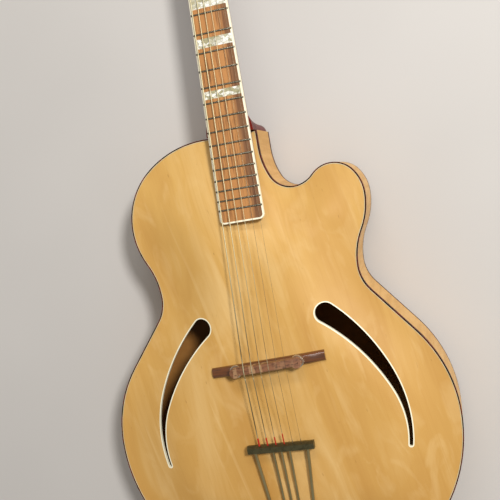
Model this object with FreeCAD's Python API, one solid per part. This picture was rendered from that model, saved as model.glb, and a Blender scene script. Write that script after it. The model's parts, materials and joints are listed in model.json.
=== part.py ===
import FreeCAD, Part
import math
import os

V = FreeCAD.Vector

# The guitar lies on its back: +X treble side, +Y towards the head, +Z out of the top.
# While it is modelled, y = 0 is the body's edge under the neck and z = 0 the plane of the top's edge.
# At the end everything moves so that the origin is the middle of the box's bottom.

# Playing length and the neck's set
SCALE_LENGTH = 636.0
FRET_COUNT = 21
JOIN_FRET = 14
JOIN_PAST_FRET = 4.8
NECK_PITCH = 3.46
BOARD_RISE = 19.1

# Body outline: half widths from the centre line, drops from the neck edge, lower bout placed from the tail
BODY_LENGTH = 542.0
LOWER_HALF = 217.0
LOWER_AHEAD = 171.0
CORNER_HALF = 189.0
CORNER_AHEAD = 68.0
WAIST_BASS = 128.0
WAIST_BASS_DROP = 186.0
WAIST_TREBLE = 124.5
WAIST_TREBLE_DROP = 181.0
WAIST_RADIUS = 47.0
HIP_RUN = 71.0
UPPER_BASS = 150.4
UPPER_DROP = 97.0
SHOULDER_FLAT = 40.0
HORN_SIDE = 146.4
HORN_SIDE_DROP = 96.0
HORN_TOP = 111.0
HORN_TOP_DROP = 54.0
CUT_FLOOR = 63.5
CUT_FLOOR_DROP = 74.2
CUT_WALL = 29.5
CUT_WALL_LENGTH = 22.0

# Plates, ribs and edges
SIDE_DEPTH = 74.0
TOP_THICKNESS = 4.5
BACK_THICKNESS = 4.0
TOP_ARCH = 20.5
BACK_ARCH = 15.0
ARCH_EDGE = 90.0
ARCH_HALF_WIDTH = 270.0
ARCH_HALF_LENGTH = 410.0
ARCH_GRID = 20.0
RIB_THICKNESS = 2.6
BINDING_WIDTH = 1.4
BINDING_HEIGHT = 6.0
PURFLING_WIDTH = 0.8
LINING_WIDTH = 7.0
LINING_HEIGHT = 14.0
GLUE_LINE = 0.1
RIB_JOINT_GAP = 0.2

# Sound holes, placed from the saddle line
HOLE_END_OUT = 77.8
HOLE_END_AHEAD = 52.7
HOLE_END_RADIUS = 12.0
HOLE_TIP_OUT = 153.4
HOLE_TIP_BEHIND = 118.7
HOLE_TIP_RADIUS = 2.1
HOLE_TIP_HEADING = 259.5
HOLE_OUTER_LEAVES = 47.2
HOLE_INNER_LEAVES = 232.7
HOLE_INNER_SHARE = 0.64
HOLE_BINDING = 1.4

# Blocks and tone bars inside the body
NECK_BLOCK_HALF = 44.0
NECK_BLOCK_LENGTH = 62.0
TAIL_BLOCK_HALF = 42.0
TAIL_BLOCK_LENGTH = 26.0
TONE_BAR_WIDTH = 9.0
TONE_BAR_HEIGHT = 12.0
TONE_BAR_LENGTH = 300.0
TONE_BAR_OUT = 34.0
TONE_BAR_SPLAY = 5.0

# Fretboard
NUT_WIDTH = 40.0
BOARD_END_WIDTH = 55.2
BOARD_PAST_FRET = 16.5
BOARD_THICKNESS = 6.0
BOARD_CORNER = 6.0
BOARD_BINDING = 1.9
CROWN_RADIUS = 350.0
FRET_WIDTH = 2.4
FRET_HEIGHT = 1.1
FRET_END_IN = 0.4
TANG_WIDTH = 0.6
TANG_DEPTH = 1.8
TANG_CLEARANCE = 0.03
MARKED_FRETS = (3, 5, 7, 9, 12)
MARKER_SHARE = 0.5
MARKER_THICKNESS = 1.2
NUT_THICKNESS = 5.0
NUT_RISE = 2.7

# Neck shaft, heel and the wood under the end of the fretboard
NECK_DEPTH_NUT = 14.5
NECK_DEPTH_HEEL = 17.5
HEEL_TOP_WIDTH = 58.0
HEEL_TOP_DEPTH = 40.0
HEEL_CAP_WIDTH = 54.0
HEEL_CAP_DEPTH = 13.0
HEEL_CAP_LIFT = 1.5
HEEL_LEVELS = 7
TENON_WIDTH = 32.0
TENON_LENGTH = 34.0
TENON_FLOOR = 14.0
TENON_CLEARANCE = 0.1
EXTENSION_LENGTH = 92.0
EXTENSION_INSET = 4.0
EXTENSION_GAP = 0.8

# Truss rod
ROD_DIAMETER = 5.0
ROD_START = 8.0
ROD_DEPTH = 8.0
ROD_CHANNEL = 6.0
ROD_NUT_ACROSS = 8.0
ROD_NUT_LENGTH = 10.0
ROD_NUT_AT = 4.0
POCKET_WIDTH = 11.0
POCKET_LENGTH = 25.0
COVER_WIDTH = 21.0
COVER_TIP_WIDTH = 12.0
COVER_LENGTH = 40.0
COVER_START = 1.0
COVER_THICKNESS = 1.8
COVER_SCREW_OUT = 7.6

# Head
HEAD_PITCH = 14.0
HEAD_LENGTH = 178.0
HEAD_THICKNESS = 14.0
HEAD_SHOULDER_WIDTH = 66.0
HEAD_SHOULDER_AT = 42.0
HEAD_TOP_WIDTH = 74.0
HEAD_TOP_AT = 166.0
OVERLAY_THICKNESS = 1.6

# Tuning machines, three on a plate
POST_OUT = 24.0
POST_FIRST = 52.0
POST_SPACING = 38.0
POST_DIAMETER = 6.0
POST_HEIGHT = 16.0
POST_CAP_DIAMETER = 6.8
POST_CAP_HEIGHT = 1.6
POST_HOLE_DIAMETER = 1.8
POST_HOLE_AT = 12.0
POST_TAIL = 0.8
BUSHING_DIAMETER = 9.0
BUSHING_DEPTH = 9.0
FLANGE_DIAMETER = 12.0
FLANGE_HEIGHT = 1.2
GEAR_TEETH = 14
GEAR_PITCH_RADIUS = 5.6
GEAR_THICKNESS = 2.6
TOOTH_REACH = 0.7
TOOTH_CLEARANCE = 0.2
TOOTH_THICKNESS = 0.9
FLANK_SLOPE = 0.35
WORM_OFFSET = 8.2
WORM_TURNS = 3
WORM_CORE_RADIUS = 1.6
THREAD_ORBIT = 2.15
THREAD_RADIUS = 0.65
WORM_SHAFT_DIAMETER = 2.6
WORM_END_PLAY = 0.25
RUNNING_CLEARANCE = 0.05
PLATE_THICKNESS = 1.2
PLATE_IN = 9.0
PLATE_OUT = 8.0
PLATE_END = 12.0
WORM_ABOVE_PLATE = 0.3
LUG_THICKNESS = 1.4
LUG_WIDTH = 6.4
LUG_RIM = 2.0
BUTTON_START = 18.0
BUTTON_LENGTH = 16.0
BUTTON_WIDTH = 14.0
BUTTON_THICKNESS = 7.0
BUTTON_ROUND = 2.6
BUTTON_BORE = 9.0
SCREW_HEAD_DIAMETER = 4.0
SCREW_HEAD_HEIGHT = 1.3
SCREW_SHANK_DIAMETER = 2.0
SCREW_LENGTH = 9.0

# Bridge, set back from the playing length and slanted for the thicker strings
SADDLE_RISE = 7.1
SADDLE_SETBACK = 4.2
BRIDGE_SLANT = 2.8
BASE_LENGTH = 142.0
BASE_WIDTH = 13.3
BASE_TOP = 27.0
BASE_END_TOP = 24.0
BASE_FLAT_HALF = 46.0
BASE_ROUND = 5.4
BASE_FIT = 0.1
STUD_OUT = 38.5
STUD_DIAMETER = 4.0
STUD_IN_BASE = 6.0
STUD_TOP = 37.6
WHEEL_DIAMETER = 16.0
WHEEL_THICKNESS = 3.0
WHEEL_LIFT = 2.2
SADDLE_END_DIAMETER = 12.6
SADDLE_FRONT = 6.0
SADDLE_REAR = 3.2
SADDLE_ON_WHEEL = 0.1
SADDLE_END_DROP = 1.6
SADDLE_STUD_ROOM = 2.4
SADDLE_OVER_STRING = 0.3

# Tailpiece
BAR_BEHIND = 100.8
BAR_TOP = 33.0
BAR_LENGTH = 83.0
BAR_WIDTH = 9.0
BAR_HEIGHT = 8.0
BAR_WALL = 2.4
BAR_ROOF = 1.5
BAR_BEVEL_DEPTH = 2.4
BAR_BEVEL_FALL = 3.6
OUTER_ROD_DIAMETER = 4.0
INNER_ROD_DIAMETER = 2.8
OUTER_ROD_AT_BAR = 33.0
OUTER_ROD_AT_TAIL = 19.0
INNER_ROD_AT_BAR = 10.3
INNER_ROD_AT_TAIL = 7.5
HINGE_RISE = 10.0
HINGE_BEHIND = 6.0
BARREL_DIAMETER = 7.0
BARREL_LENGTH = 46.0
PIN_DIAMETER = 3.0
PIN_STICKS_OUT = 1.0
EAR_THICKNESS = 3.0
EAR_GAP = 0.3
EAR_ROUND = 4.0
BRACKET_THICKNESS = 1.6
BRACKET_TOP = 3.0
BRACKET_BOTTOM = 64.0
BRACKET_FIT = 0.05
END_PIN_DOWN = 38.0
END_PIN_SHANK = 7.0
END_PIN_NECK = 8.5
END_PIN_NECK_LENGTH = 5.0
END_PIN_KNOB = 15.0
END_PIN_KNOB_LENGTH = 7.0
END_PIN_IN_BLOCK = 22.0
BRACKET_SCREW_OUT = 17.0
BRACKET_SCREW_DOWN = 26.0
BRACKET_SCREW_LAST_DOWN = 57.0
BRACKET_SCREW_LENGTH = 18.0

# Strings, first to sixth, from the treble side
STRING_GAUGES = (0.30, 0.41, 0.61, 0.81, 1.07, 1.32)
NUT_SPREAD = 33.5
SADDLE_SPREAD = 51.5
BAR_SPREAD = 52.0
NUT_STRING_RISE = 1.8
STRING_FIT = 0.06
STRING_BEND_RADIUS = 14.0
STRING_UNDER_BAR_TOP = 3.0
BALL_DIAMETER = 3.2
BALL_LENGTH = 3.2
BALL_GAP = 0.1
WINDING_TURNS = 2.5
WINDING_GAP = 0.5
WINDING_CLEARANCE = 0.35
WINDING_HEIGHT = 9.0
WINDING_LEAD_IN = 8.0

PARTS = {}


# Small helpers for lines, arcs and simple solids


def unit(vector):
    copy = V(vector)
    copy.normalize()
    return copy


def heading(degrees):
    return V(math.cos(math.radians(degrees)), math.sin(math.radians(degrees)), 0)


def block(x0, x1, y0, y1, z0, z1):
    return Part.makeBox(x1 - x0, y1 - y0, z1 - z0, V(x0, y0, z0))


def cylinder(diameter, start, end):
    axis = end - start
    return Part.makeCylinder(diameter / 2, axis.Length, start, axis)


def arc_under(start, corner, end):
    """The arc from start to end whose end tangents meet at corner, or a line if they are in line."""
    half = (end - start) * 0.5
    middle = start + half
    rise = corner - middle
    if rise.Length < 1e-7 * half.Length:
        return Part.LineSegment(start, end).toShape()
    bulge = half.Length * math.tan(math.atan2(rise.Length, half.Length) / 2)
    return Part.Arc(start, middle + unit(rise) * bulge, end).toShape()


def arc_from(start, leaves, end):
    """One arc that leaves start along a direction and ends at end, with its direction there."""
    chord = end - start
    along = unit(chord)
    corner = start + leaves * (chord.Length / (2 * leaves.dot(along)))
    return arc_under(start, corner, end), along * (2 * leaves.dot(along)) - leaves


def biarc(start, leaves, end, arrives, share=1.0):
    """Two tangent arcs between two points with given directions; share is the second tangent length
    over the first."""
    chord = end - start
    square = 2 * share * (1 - leaves.dot(arrives))
    linear = chord.dot(leaves + arrives * share)
    constant = chord.dot(chord)
    reach = constant / (2 * linear)
    if square > 1e-9:
        reach = (math.sqrt(linear * linear + square * constant) - linear) / square
    first = start + leaves * reach
    second = end - arrives * (reach * share)
    meet = first + (second - first) * (1 / (1 + share))
    return [arc_under(start, first, meet), arc_under(meet, second, end)]


def biarcs_through(stations):
    """Biarcs from each point and direction to the next."""
    edges = []
    for (start, leaves), (end, arrives) in zip(stations, stations[1:]):
        edges += biarc(start, leaves, end, arrives)
    return edges


def tube(path, diameter):
    first = path.Edges[0]
    start = first.valueAt(first.FirstParameter)
    ahead = first.tangentAt(first.FirstParameter)
    circle = Part.Wire(Part.makeCircle(diameter / 2, start, ahead))
    return path.makePipeShell([circle], True, False)


def half_oval(width, depth, place):
    """A closed wire: a straight side of the width and an oval bulge of the depth, set by place."""
    left = V(-width / 2, 0, 0)
    right = V(width / 2, 0, 0)
    tip = V(0, depth, 0)
    edges = [Part.LineSegment(left, right).toShape()]
    edges += biarc(right, V(0, 1, 0), tip, V(-1, 0, 0))
    edges += biarc(tip, V(-1, 0, 0), left, V(0, -1, 0))
    return placed(Part.Wire(edges), place)


def placed(shape, place):
    return shape.transformed(place.Matrix, True)


def about_x(point, degrees):
    return FreeCAD.Placement(point, FreeCAD.Rotation(V(1, 0, 0), degrees))


def mirrored(shape):
    return shape.mirror(V(0, 0, 0), V(1, 0, 0))


def prism(wire, z0, z1):
    return Part.Face(wire.translated(V(0, 0, z0))).extrude(V(0, 0, z1 - z0))


def polygon_prism(points, z0, z1):
    return prism(Part.makePolygon([V(x, y, 0) for x, y in points + points[:1]]), z0, z1)


def add(name, solids):
    PARTS[name] = solids if len(solids) > 1 else solids[0]


# The neck's own frame: y along the strings from the body's edge, z = 0 on the fretboard's crown.
# The head's own frame: y up the head from the nut, z = 0 on the front of the overlay.

NUT_Y = SCALE_LENGTH * (1 - 2 ** (-JOIN_FRET / 12)) + JOIN_PAST_FRET
NECK = about_x(V(0, 0, BOARD_RISE), -NECK_PITCH)
HEAD_ROOT = V(0, NUT_Y + NUT_THICKNESS, OVERLAY_THICKNESS - BOARD_THICKNESS)
HEAD = NECK.multiply(about_x(HEAD_ROOT, -HEAD_PITCH))
HEAD_BACK = -OVERLAY_THICKNESS - HEAD_THICKNESS
SADDLE = NECK.multVec(V(0, NUT_Y - SCALE_LENGTH - SADDLE_SETBACK, SADDLE_RISE))
SADDLE_FOOT = V(0, SADDLE.y, 0)
TAIL_Y = -BODY_LENGTH
WORM_LEAD = 2 * math.pi * GEAR_PITCH_RADIUS / GEAR_TEETH
WORM_LENGTH = WORM_TURNS * WORM_LEAD + 3 * THREAD_RADIUS
WORM_LEVEL = HEAD_BACK - PLATE_THICKNESS - WORM_ABOVE_PLATE - THREAD_ORBIT - THREAD_RADIUS
LUG_START = WORM_LENGTH / 2 + WORM_END_PLAY
HINGE = V(0, TAIL_Y - HINGE_BEHIND, HINGE_RISE)
BAR_Y = SADDLE.y - BAR_BEHIND


def crown(x):
    """How far the fretboard's round surface lies below its crown at x."""
    return math.sqrt(CROWN_RADIUS ** 2 - x * x) - CROWN_RADIUS


def fret_y(number):
    return NUT_Y - SCALE_LENGTH * (1 - 2 ** (-number / 12))


BOARD_END_Y = fret_y(FRET_COUNT) - BOARD_PAST_FRET


def board_width(y):
    share = (NUT_Y - y) / (NUT_Y - BOARD_END_Y)
    return NUT_WIDTH + (BOARD_END_WIDTH - NUT_WIDTH) * share


# Body outline: tangent arcs from the cutaway's corner round the bass side, tail and treble side


def hip(waist, lower):
    """From a waist to the lower bout, both heading to the tail: an arc, a straight run, an arc."""
    across = lower.x - waist.x
    fall = waist.y - lower.y
    slope = 2 * math.atan(abs(across) / (fall + HIP_RUN))
    both_radii = (fall - HIP_RUN * math.cos(slope)) / math.sin(slope)
    tail_ward = V(0, -1, 0)
    sloping = V(math.copysign(math.sin(slope), across), -math.cos(slope), 0)
    first_reach = WAIST_RADIUS * math.tan(slope / 2)
    last_reach = (both_radii - WAIST_RADIUS) * math.tan(slope / 2)
    first = waist + tail_ward * first_reach
    last = lower - tail_ward * last_reach
    start = first + sloping * first_reach
    end = last - sloping * last_reach
    return [arc_under(waist, first, start), Part.LineSegment(start, end).toShape(), arc_under(end, last, lower)]


def body_outline():
    down = V(0, -1, 0)
    up = V(0, 1, 0)
    left = V(-1, 0, 0)
    corner = V(CUT_WALL, 0, 0)
    flat_end = V(-SHOULDER_FLAT, 0, 0)
    upper = V(-UPPER_BASS, -UPPER_DROP, 0)
    waist = V(-WAIST_BASS, -WAIST_BASS_DROP, 0)
    lower = V(-LOWER_HALF, TAIL_Y + LOWER_AHEAD, 0)
    turn = V(-CORNER_HALF, TAIL_Y + CORNER_AHEAD, 0)
    tail = V(0, TAIL_Y, 0)
    treble_turn = V(CORNER_HALF, TAIL_Y + CORNER_AHEAD, 0)
    treble_lower = V(LOWER_HALF, TAIL_Y + LOWER_AHEAD, 0)
    treble_waist = V(WAIST_TREBLE, -WAIST_TREBLE_DROP, 0)
    horn_side = V(HORN_SIDE, -HORN_SIDE_DROP, 0)
    horn_top = V(HORN_TOP, -HORN_TOP_DROP, 0)
    cut_floor = V(CUT_FLOOR, -CUT_FLOOR_DROP, 0)
    wall = V(CUT_WALL, -CUT_WALL_LENGTH, 0)
    side_arc, turning = arc_from(lower, down, turn)
    turning_up = V(turning.x, -turning.y, 0)
    edges = [Part.LineSegment(corner, flat_end).toShape()]
    edges += biarc(flat_end, left, upper, down)
    edges += biarc(upper, down, waist, down)
    edges += hip(waist, lower)
    edges += [side_arc]
    edges += biarc(turn, turning, tail, V(1, 0, 0))
    edges += biarc(tail, V(1, 0, 0), treble_turn, turning_up)
    edges += [arc_from(treble_turn, turning_up, treble_lower)[0]]
    edges += reversed(hip(treble_waist, treble_lower))
    edges += biarc(treble_waist, up, horn_side, up)
    edges += biarc(horn_side, up, horn_top, left)
    edges += biarc(horn_top, left, cut_floor, left)
    edges += biarc(cut_floor, left, wall, up)
    edges += [Part.LineSegment(wall, corner).toShape()]
    return Part.Wire(edges)


OUTLINE = body_outline()
OUTLINE_POINTS = OUTLINE.discretize(Number=300)


def inset(distance):
    """The outline moved inwards, or outwards for a negative distance."""
    if distance == 0:
        return OUTLINE
    return OUTLINE.makeOffset2D(-distance, 2)


def ring(outer, inner, z0, z1):
    return prism(inset(outer), z0, z1).cut(prism(inset(inner), z0 - 1, z1 + 1))


def edge_distance(x, y):
    """Distance from a point inside the outline to the outline, and 0 outside it."""
    nearest = 1e9
    inside = False
    for a, b in zip(OUTLINE_POINTS, OUTLINE_POINTS[1:]):
        dx = b.x - a.x
        dy = b.y - a.y
        along = ((x - a.x) * dx + (y - a.y) * dy) / (dx * dx + dy * dy)
        along = min(1, max(0, along))
        nearest = min(nearest, math.hypot(a.x + along * dx - x, a.y + along * dy - y))
        if (a.y > y) != (b.y > y) and x < a.x + (y - a.y) * dx / dy:
            inside = not inside
    return nearest if inside else 0


def arch_share(x, y):
    """The arch's height over its full height: a shallow dome that eases down to a level edge."""
    rise = min(1, edge_distance(x, y) / ARCH_EDGE)
    ease = rise * rise * (3 - 2 * rise)
    dome = 1 - (x / ARCH_HALF_WIDTH) ** 2 - ((y - SADDLE.y) / ARCH_HALF_LENGTH) ** 2
    return ease * dome


def arch_grid():
    reach = LOWER_HALF + ARCH_GRID
    columns = math.ceil(2 * reach / ARCH_GRID)
    rows = math.ceil((BODY_LENGTH + 2 * ARCH_GRID) / ARCH_GRID)
    grid = []
    for i in range(columns + 1):
        x = -reach + 2 * reach * i / columns
        line = []
        for j in range(rows + 1):
            y = ARCH_GRID - (BODY_LENGTH + 2 * ARCH_GRID) * j / rows
            line.append((x, y, arch_share(x, y)))
        grid.append(line)
    return grid


ARCH = arch_grid()


def arch_face(level, height):
    """A smooth sheet over the arch grid, at a level and with a full height that may be negative."""
    surface = Part.BSplineSurface()
    surface.interpolate([[V(x, y, level + height * share) for x, y, share in line] for line in ARCH])
    return surface.toShape()


def arch_slab(level, height, thickness):
    return arch_face(level, height).extrude(V(0, 0, thickness))


FAR = 200.0


def hole_wire(side):
    """One sound hole: a wide round end, two pairs of arcs that leave it smoothly, and a narrow round end."""
    centre = V(HOLE_END_OUT, SADDLE.y + HOLE_END_AHEAD, 0)
    tip = V(HOLE_TIP_OUT, SADDLE.y - HOLE_TIP_BEHIND, 0)
    outer = centre + heading(HOLE_OUTER_LEAVES) * HOLE_END_RADIUS
    inner = centre + heading(HOLE_INNER_LEAVES) * HOLE_END_RADIUS
    cap = centre + heading((HOLE_OUTER_LEAVES + HOLE_INNER_LEAVES) / 2) * HOLE_END_RADIUS
    tip_way = heading(HOLE_TIP_HEADING)
    outer_tip = tip + heading(HOLE_TIP_HEADING + 90) * HOLE_TIP_RADIUS
    inner_tip = tip + heading(HOLE_TIP_HEADING - 90) * HOLE_TIP_RADIUS
    edges = [Part.Arc(outer, cap, inner).toShape()]
    edges += biarc(inner, heading(HOLE_INNER_LEAVES + 90), inner_tip, tip_way, HOLE_INNER_SHARE)
    edges += [Part.Arc(inner_tip, tip + tip_way * HOLE_TIP_RADIUS, outer_tip).toShape()]
    edges += biarc(outer, heading(HOLE_OUTER_LEAVES - 90), outer_tip, tip_way)
    wire = Part.Wire(Part.sortEdges(edges)[0])
    return wire if side > 0 else mirrored(wire)


def tenon_room(clearance):
    half = TENON_WIDTH / 2 + clearance
    floor = -SIDE_DEPTH + TENON_FLOOR - clearance
    return block(-half, half, -TENON_LENGTH - clearance, FAR, floor, FAR)


# Tail screws and the end pin go through the bracket and rib into the tail block

BRACKET_SCREW_PLACES = (
    (-BRACKET_SCREW_OUT, -BRACKET_SCREW_DOWN),
    (BRACKET_SCREW_OUT, -BRACKET_SCREW_DOWN),
    (0, -BRACKET_SCREW_LAST_DOWN),
)
BRACKET_FACE = TAIL_Y - BRACKET_FIT - BRACKET_THICKNESS


def tail_shanks():
    shanks = []
    for x, z in BRACKET_SCREW_PLACES:
        start = V(x, BRACKET_FACE, z)
        shanks.append(cylinder(SCREW_SHANK_DIAMETER, start, start + V(0, BRACKET_SCREW_LENGTH, 0)))
    start = V(0, BRACKET_FACE, -END_PIN_DOWN)
    shanks.append(cylinder(END_PIN_SHANK, start, start + V(0, END_PIN_IN_BLOCK, 0)))
    return shanks


def build_plates():
    edge = BINDING_WIDTH + PURFLING_WIDTH
    holes = [hole_wire(1), hole_wire(-1)]
    outer_holes = [wire.makeOffset2D(HOLE_BINDING) for wire in holes]
    top_sheet = arch_slab(0, TOP_ARCH, -TOP_THICKNESS)
    cuts = [prism(wire, -FAR, FAR) for wire in outer_holes]
    top = top_sheet.common(prism(inset(edge + GLUE_LINE), -FAR, FAR))
    add("top_plate", [top.cut(cuts + [tenon_room(TENON_CLEARANCE)])])
    liners = []
    for hole, outer in zip(holes, outer_holes):
        liner = prism(outer, -FAR, FAR).cut(prism(hole, -FAR - 1, FAR + 1))
        liners.append(liner.common(top_sheet))
    add("soundhole_bindings", liners)
    back_sheet = arch_slab(-SIDE_DEPTH, -BACK_ARCH, BACK_THICKNESS)
    add("back_plate", [back_sheet.common(prism(inset(BINDING_WIDTH + GLUE_LINE), -FAR, FAR))])


def build_edges():
    neck_gap = tenon_room(TENON_CLEARANCE)
    binding = ring(0, BINDING_WIDTH, -BINDING_HEIGHT, 0)
    add("top_binding", [binding.cut(neck_gap)])
    purfling = ring(BINDING_WIDTH, BINDING_WIDTH + PURFLING_WIDTH, -TOP_THICKNESS, 0)
    add("top_purfling", [purfling.cut(neck_gap)])
    add("back_binding", [ring(0, BINDING_WIDTH, -SIDE_DEPTH, -SIDE_DEPTH + BINDING_HEIGHT)])


def build_ribs():
    low = -SIDE_DEPTH + BACK_THICKNESS + GLUE_LINE
    high = -TOP_THICKNESS - GLUE_LINE
    rib = ring(0, RIB_THICKNESS, low, high)
    ledge_top = ring(-1, BINDING_WIDTH, -BINDING_HEIGHT, 1)
    ledge_back = ring(-1, BINDING_WIDTH, -SIDE_DEPTH - 1, -SIDE_DEPTH + BINDING_HEIGHT)
    seam = block(-RIB_JOINT_GAP / 2, RIB_JOINT_GAP / 2, TAIL_Y - 1, TAIL_Y + FAR, -FAR, FAR)
    half = TENON_WIDTH / 2 + TENON_CLEARANCE
    doorway = block(-half, half, -NECK_BLOCK_LENGTH, 1, -FAR, FAR)
    rib = rib.cut([ledge_top, ledge_back, seam, doorway] + tail_shanks())
    bass, treble = sorted(rib.Solids, key=lambda solid: solid.CenterOfMass.x)
    add("bass_rib", [bass])
    add("treble_rib", [treble])


def inner_room(gap):
    """The space between the ribs and the two plates, drawn in by a glue gap."""
    shape = prism(inset(RIB_THICKNESS + gap), -SIDE_DEPTH - BACK_ARCH, TOP_ARCH)
    over = arch_slab(-TOP_THICKNESS - gap, TOP_ARCH, FAR)
    under = arch_slab(-SIDE_DEPTH + BACK_THICKNESS + gap, -BACK_ARCH, -FAR)
    return shape.cut([over, under])


def build_inside():
    room = inner_room(GLUE_LINE)
    neck_space = block(-NECK_BLOCK_HALF, FAR, -NECK_BLOCK_LENGTH, FAR, -FAR, FAR)
    neck_space = neck_space.cut(block(CUT_WALL, FAR, -FAR, FAR, -FAR, FAR))
    tail_end = TAIL_Y + RIB_THICKNESS + TAIL_BLOCK_LENGTH
    tail_space = block(-TAIL_BLOCK_HALF, TAIL_BLOCK_HALF, TAIL_Y, tail_end, -FAR, FAR)
    add("neck_block", [room.common(neck_space).cut(tenon_room(TENON_CLEARANCE))])
    add("tail_block", [room.common(tail_space).cut(tail_shanks())])
    inner = RIB_THICKNESS + GLUE_LINE
    strip = ring(inner, inner + LINING_WIDTH, -FAR, FAR).common(room).cut([neck_space, tail_space])
    top_band = block(-FAR * 2, FAR * 2, -FAR * 4, FAR, -LINING_HEIGHT - TOP_THICKNESS, FAR)
    back_level = -SIDE_DEPTH + BACK_THICKNESS + LINING_HEIGHT
    back_band = block(-FAR * 2, FAR * 2, -FAR * 4, FAR, -FAR, back_level)
    add("linings", strip.common(top_band).Solids + strip.common(back_band).Solids)
    layer = arch_slab(-TOP_THICKNESS - GLUE_LINE, TOP_ARCH, -TONE_BAR_HEIGHT)
    bars = []
    for side in (-1, 1):
        bar = block(-TONE_BAR_WIDTH / 2, TONE_BAR_WIDTH / 2, -TONE_BAR_LENGTH / 2, TONE_BAR_LENGTH / 2,
                    -FAR, FAR)
        bar = bar.rotated(V(0, 0, 0), V(0, 0, 1), side * TONE_BAR_SPLAY)
        bars.append(bar.translated(V(side * TONE_BAR_OUT, SADDLE.y, 0)).common(layer))
    add("tone_bars", bars)


# Fretboard, its binding, frets, markers and nut, drawn in the neck's frame


def crown_bar(y0, y1, bottom, lift=0.0):
    """A bar along the neck with a flat bottom and the fretboard's round top."""
    half = BOARD_END_WIDTH
    side = crown(half) + lift
    edges = [
        Part.LineSegment(V(-half, y0, bottom), V(half, y0, bottom)).toShape(),
        Part.LineSegment(V(half, y0, bottom), V(half, y0, side)).toShape(),
        Part.Arc(V(half, y0, side), V(0, y0, lift), V(-half, y0, side)).toShape(),
        Part.LineSegment(V(-half, y0, side), V(-half, y0, bottom)).toShape(),
    ]
    return Part.Face(Part.Wire(edges)).extrude(V(0, y1 - y0, 0))


def board_plan(margin, past_nut):
    """The fretboard's tapered outline, drawn in by a margin, with round corners at the body end."""
    near = board_width(BOARD_END_Y) / 2 - margin
    far = board_width(NUT_Y + past_nut) / 2 - margin
    end = BOARD_END_Y + margin
    points = [(-near, end), (near, end), (far, NUT_Y + past_nut), (-far, NUT_Y + past_nut)]
    plan = polygon_prism(points, -FAR, FAR)
    corners = [edge for edge in plan.Edges if is_upright_at(edge, end)]
    return plan.makeFillet(BOARD_CORNER - margin, corners)


def is_upright_at(edge, y):
    ends = [vertex.Point for vertex in edge.Vertexes]
    return all(abs(point.y - y) < 1e-6 for point in ends) and abs(ends[0].z - ends[1].z) > 1


def bent_bar(y, profile, half_width):
    """A section in (y, z) swung round the crown's axis, as wide as the board there."""
    axis_point = V(0, 0, -CROWN_RADIUS)
    angle = math.degrees(math.asin(half_width / CROWN_RADIUS))
    face = profile.translated(V(0, y, 0)).rotated(axis_point, V(0, 1, 0), -angle)
    return face.revolve(axis_point, V(0, 1, 0), 2 * angle)


def fret_profile():
    half = FRET_WIDTH / 2
    tang = TANG_WIDTH / 2
    foot = [V(0, half, 0), V(0, tang, 0), V(0, tang, -TANG_DEPTH), V(0, -tang, -TANG_DEPTH),
            V(0, -tang, 0), V(0, -half, 0)]
    edges = [Part.Arc(V(0, -half, 0), V(0, 0, FRET_HEIGHT), V(0, half, 0)).toShape()]
    edges += [Part.LineSegment(a, b).toShape() for a, b in zip(foot, foot[1:])]
    return Part.Face(Part.Wire(edges))


def slot_profile():
    half = TANG_WIDTH / 2 + TANG_CLEARANCE
    low = -TANG_DEPTH - TANG_CLEARANCE
    points = [V(0, -half, low), V(0, half, low), V(0, half, 1), V(0, -half, 1), V(0, -half, low)]
    return Part.Face(Part.makePolygon(points))


def build_fretboard():
    bar = crown_bar(BOARD_END_Y, NUT_Y, -BOARD_THICKNESS)
    inner_plan = board_plan(BOARD_BINDING, NUT_THICKNESS)
    frets = []
    slots = []
    for number in range(1, FRET_COUNT + 1):
        y = fret_y(number)
        half = board_width(y) / 2
        frets.append(bent_bar(y, fret_profile(), half - FRET_END_IN))
        slots.append(bent_bar(y, slot_profile(), half + 1))
    markers = []
    for number in MARKED_FRETS:
        middle = (fret_y(number) + fret_y(number - 1)) / 2
        length = (fret_y(number - 1) - fret_y(number)) * MARKER_SHARE
        half = board_width(middle - length / 2) / 2
        floor = crown(half) - MARKER_THICKNESS
        tile = crown_bar(middle - length / 2, middle + length / 2, floor)
        markers.append(tile.common(inner_plan))
    binding = bar.common(board_plan(0, 0)).cut(inner_plan).cut(slots)
    add("fretboard", [placed(bar.common(inner_plan).cut(slots + markers), NECK)])
    add("fretboard_binding", [placed(binding, NECK)])
    add("frets", [placed(fret, NECK) for fret in frets])
    add("fret_markers", [placed(tile, NECK) for tile in markers])
    nut = crown_bar(NUT_Y, NUT_Y + NUT_THICKNESS, -BOARD_THICKNESS, NUT_RISE)
    half = NUT_WIDTH / 2
    nut = nut.common(block(-half, half, NUT_Y - 1, NUT_Y + FAR, -FAR, FAR))
    add("nut", [placed(nut, NECK).cut(STRING_ROOMS)])


# Neck with heel, tenon, head and the wood under the fretboard's end


def shaft_section(y, depth):
    lie_down = FreeCAD.Placement(V(0, y, -BOARD_THICKNESS), FreeCAD.Rotation(V(1, 0, 0), -90))
    return half_oval(board_width(y), depth, lie_down)


def heel_section(step):
    """A level cut through the heel: its depth falls off quickly below the shaft, its width evenly."""
    share = step / (HEEL_LEVELS - 1)
    top = BOARD_RISE - BOARD_THICKNESS
    level = top + (HEEL_CAP_LIFT - SIDE_DEPTH - top) * share
    width = HEEL_TOP_WIDTH + (HEEL_CAP_WIDTH - HEEL_TOP_WIDTH) * share
    depth = HEEL_CAP_DEPTH + (HEEL_TOP_DEPTH - HEEL_CAP_DEPTH) * (1 - share) ** 3
    return half_oval(width, depth, about_x(V(0, 0, level), 0))


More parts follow.
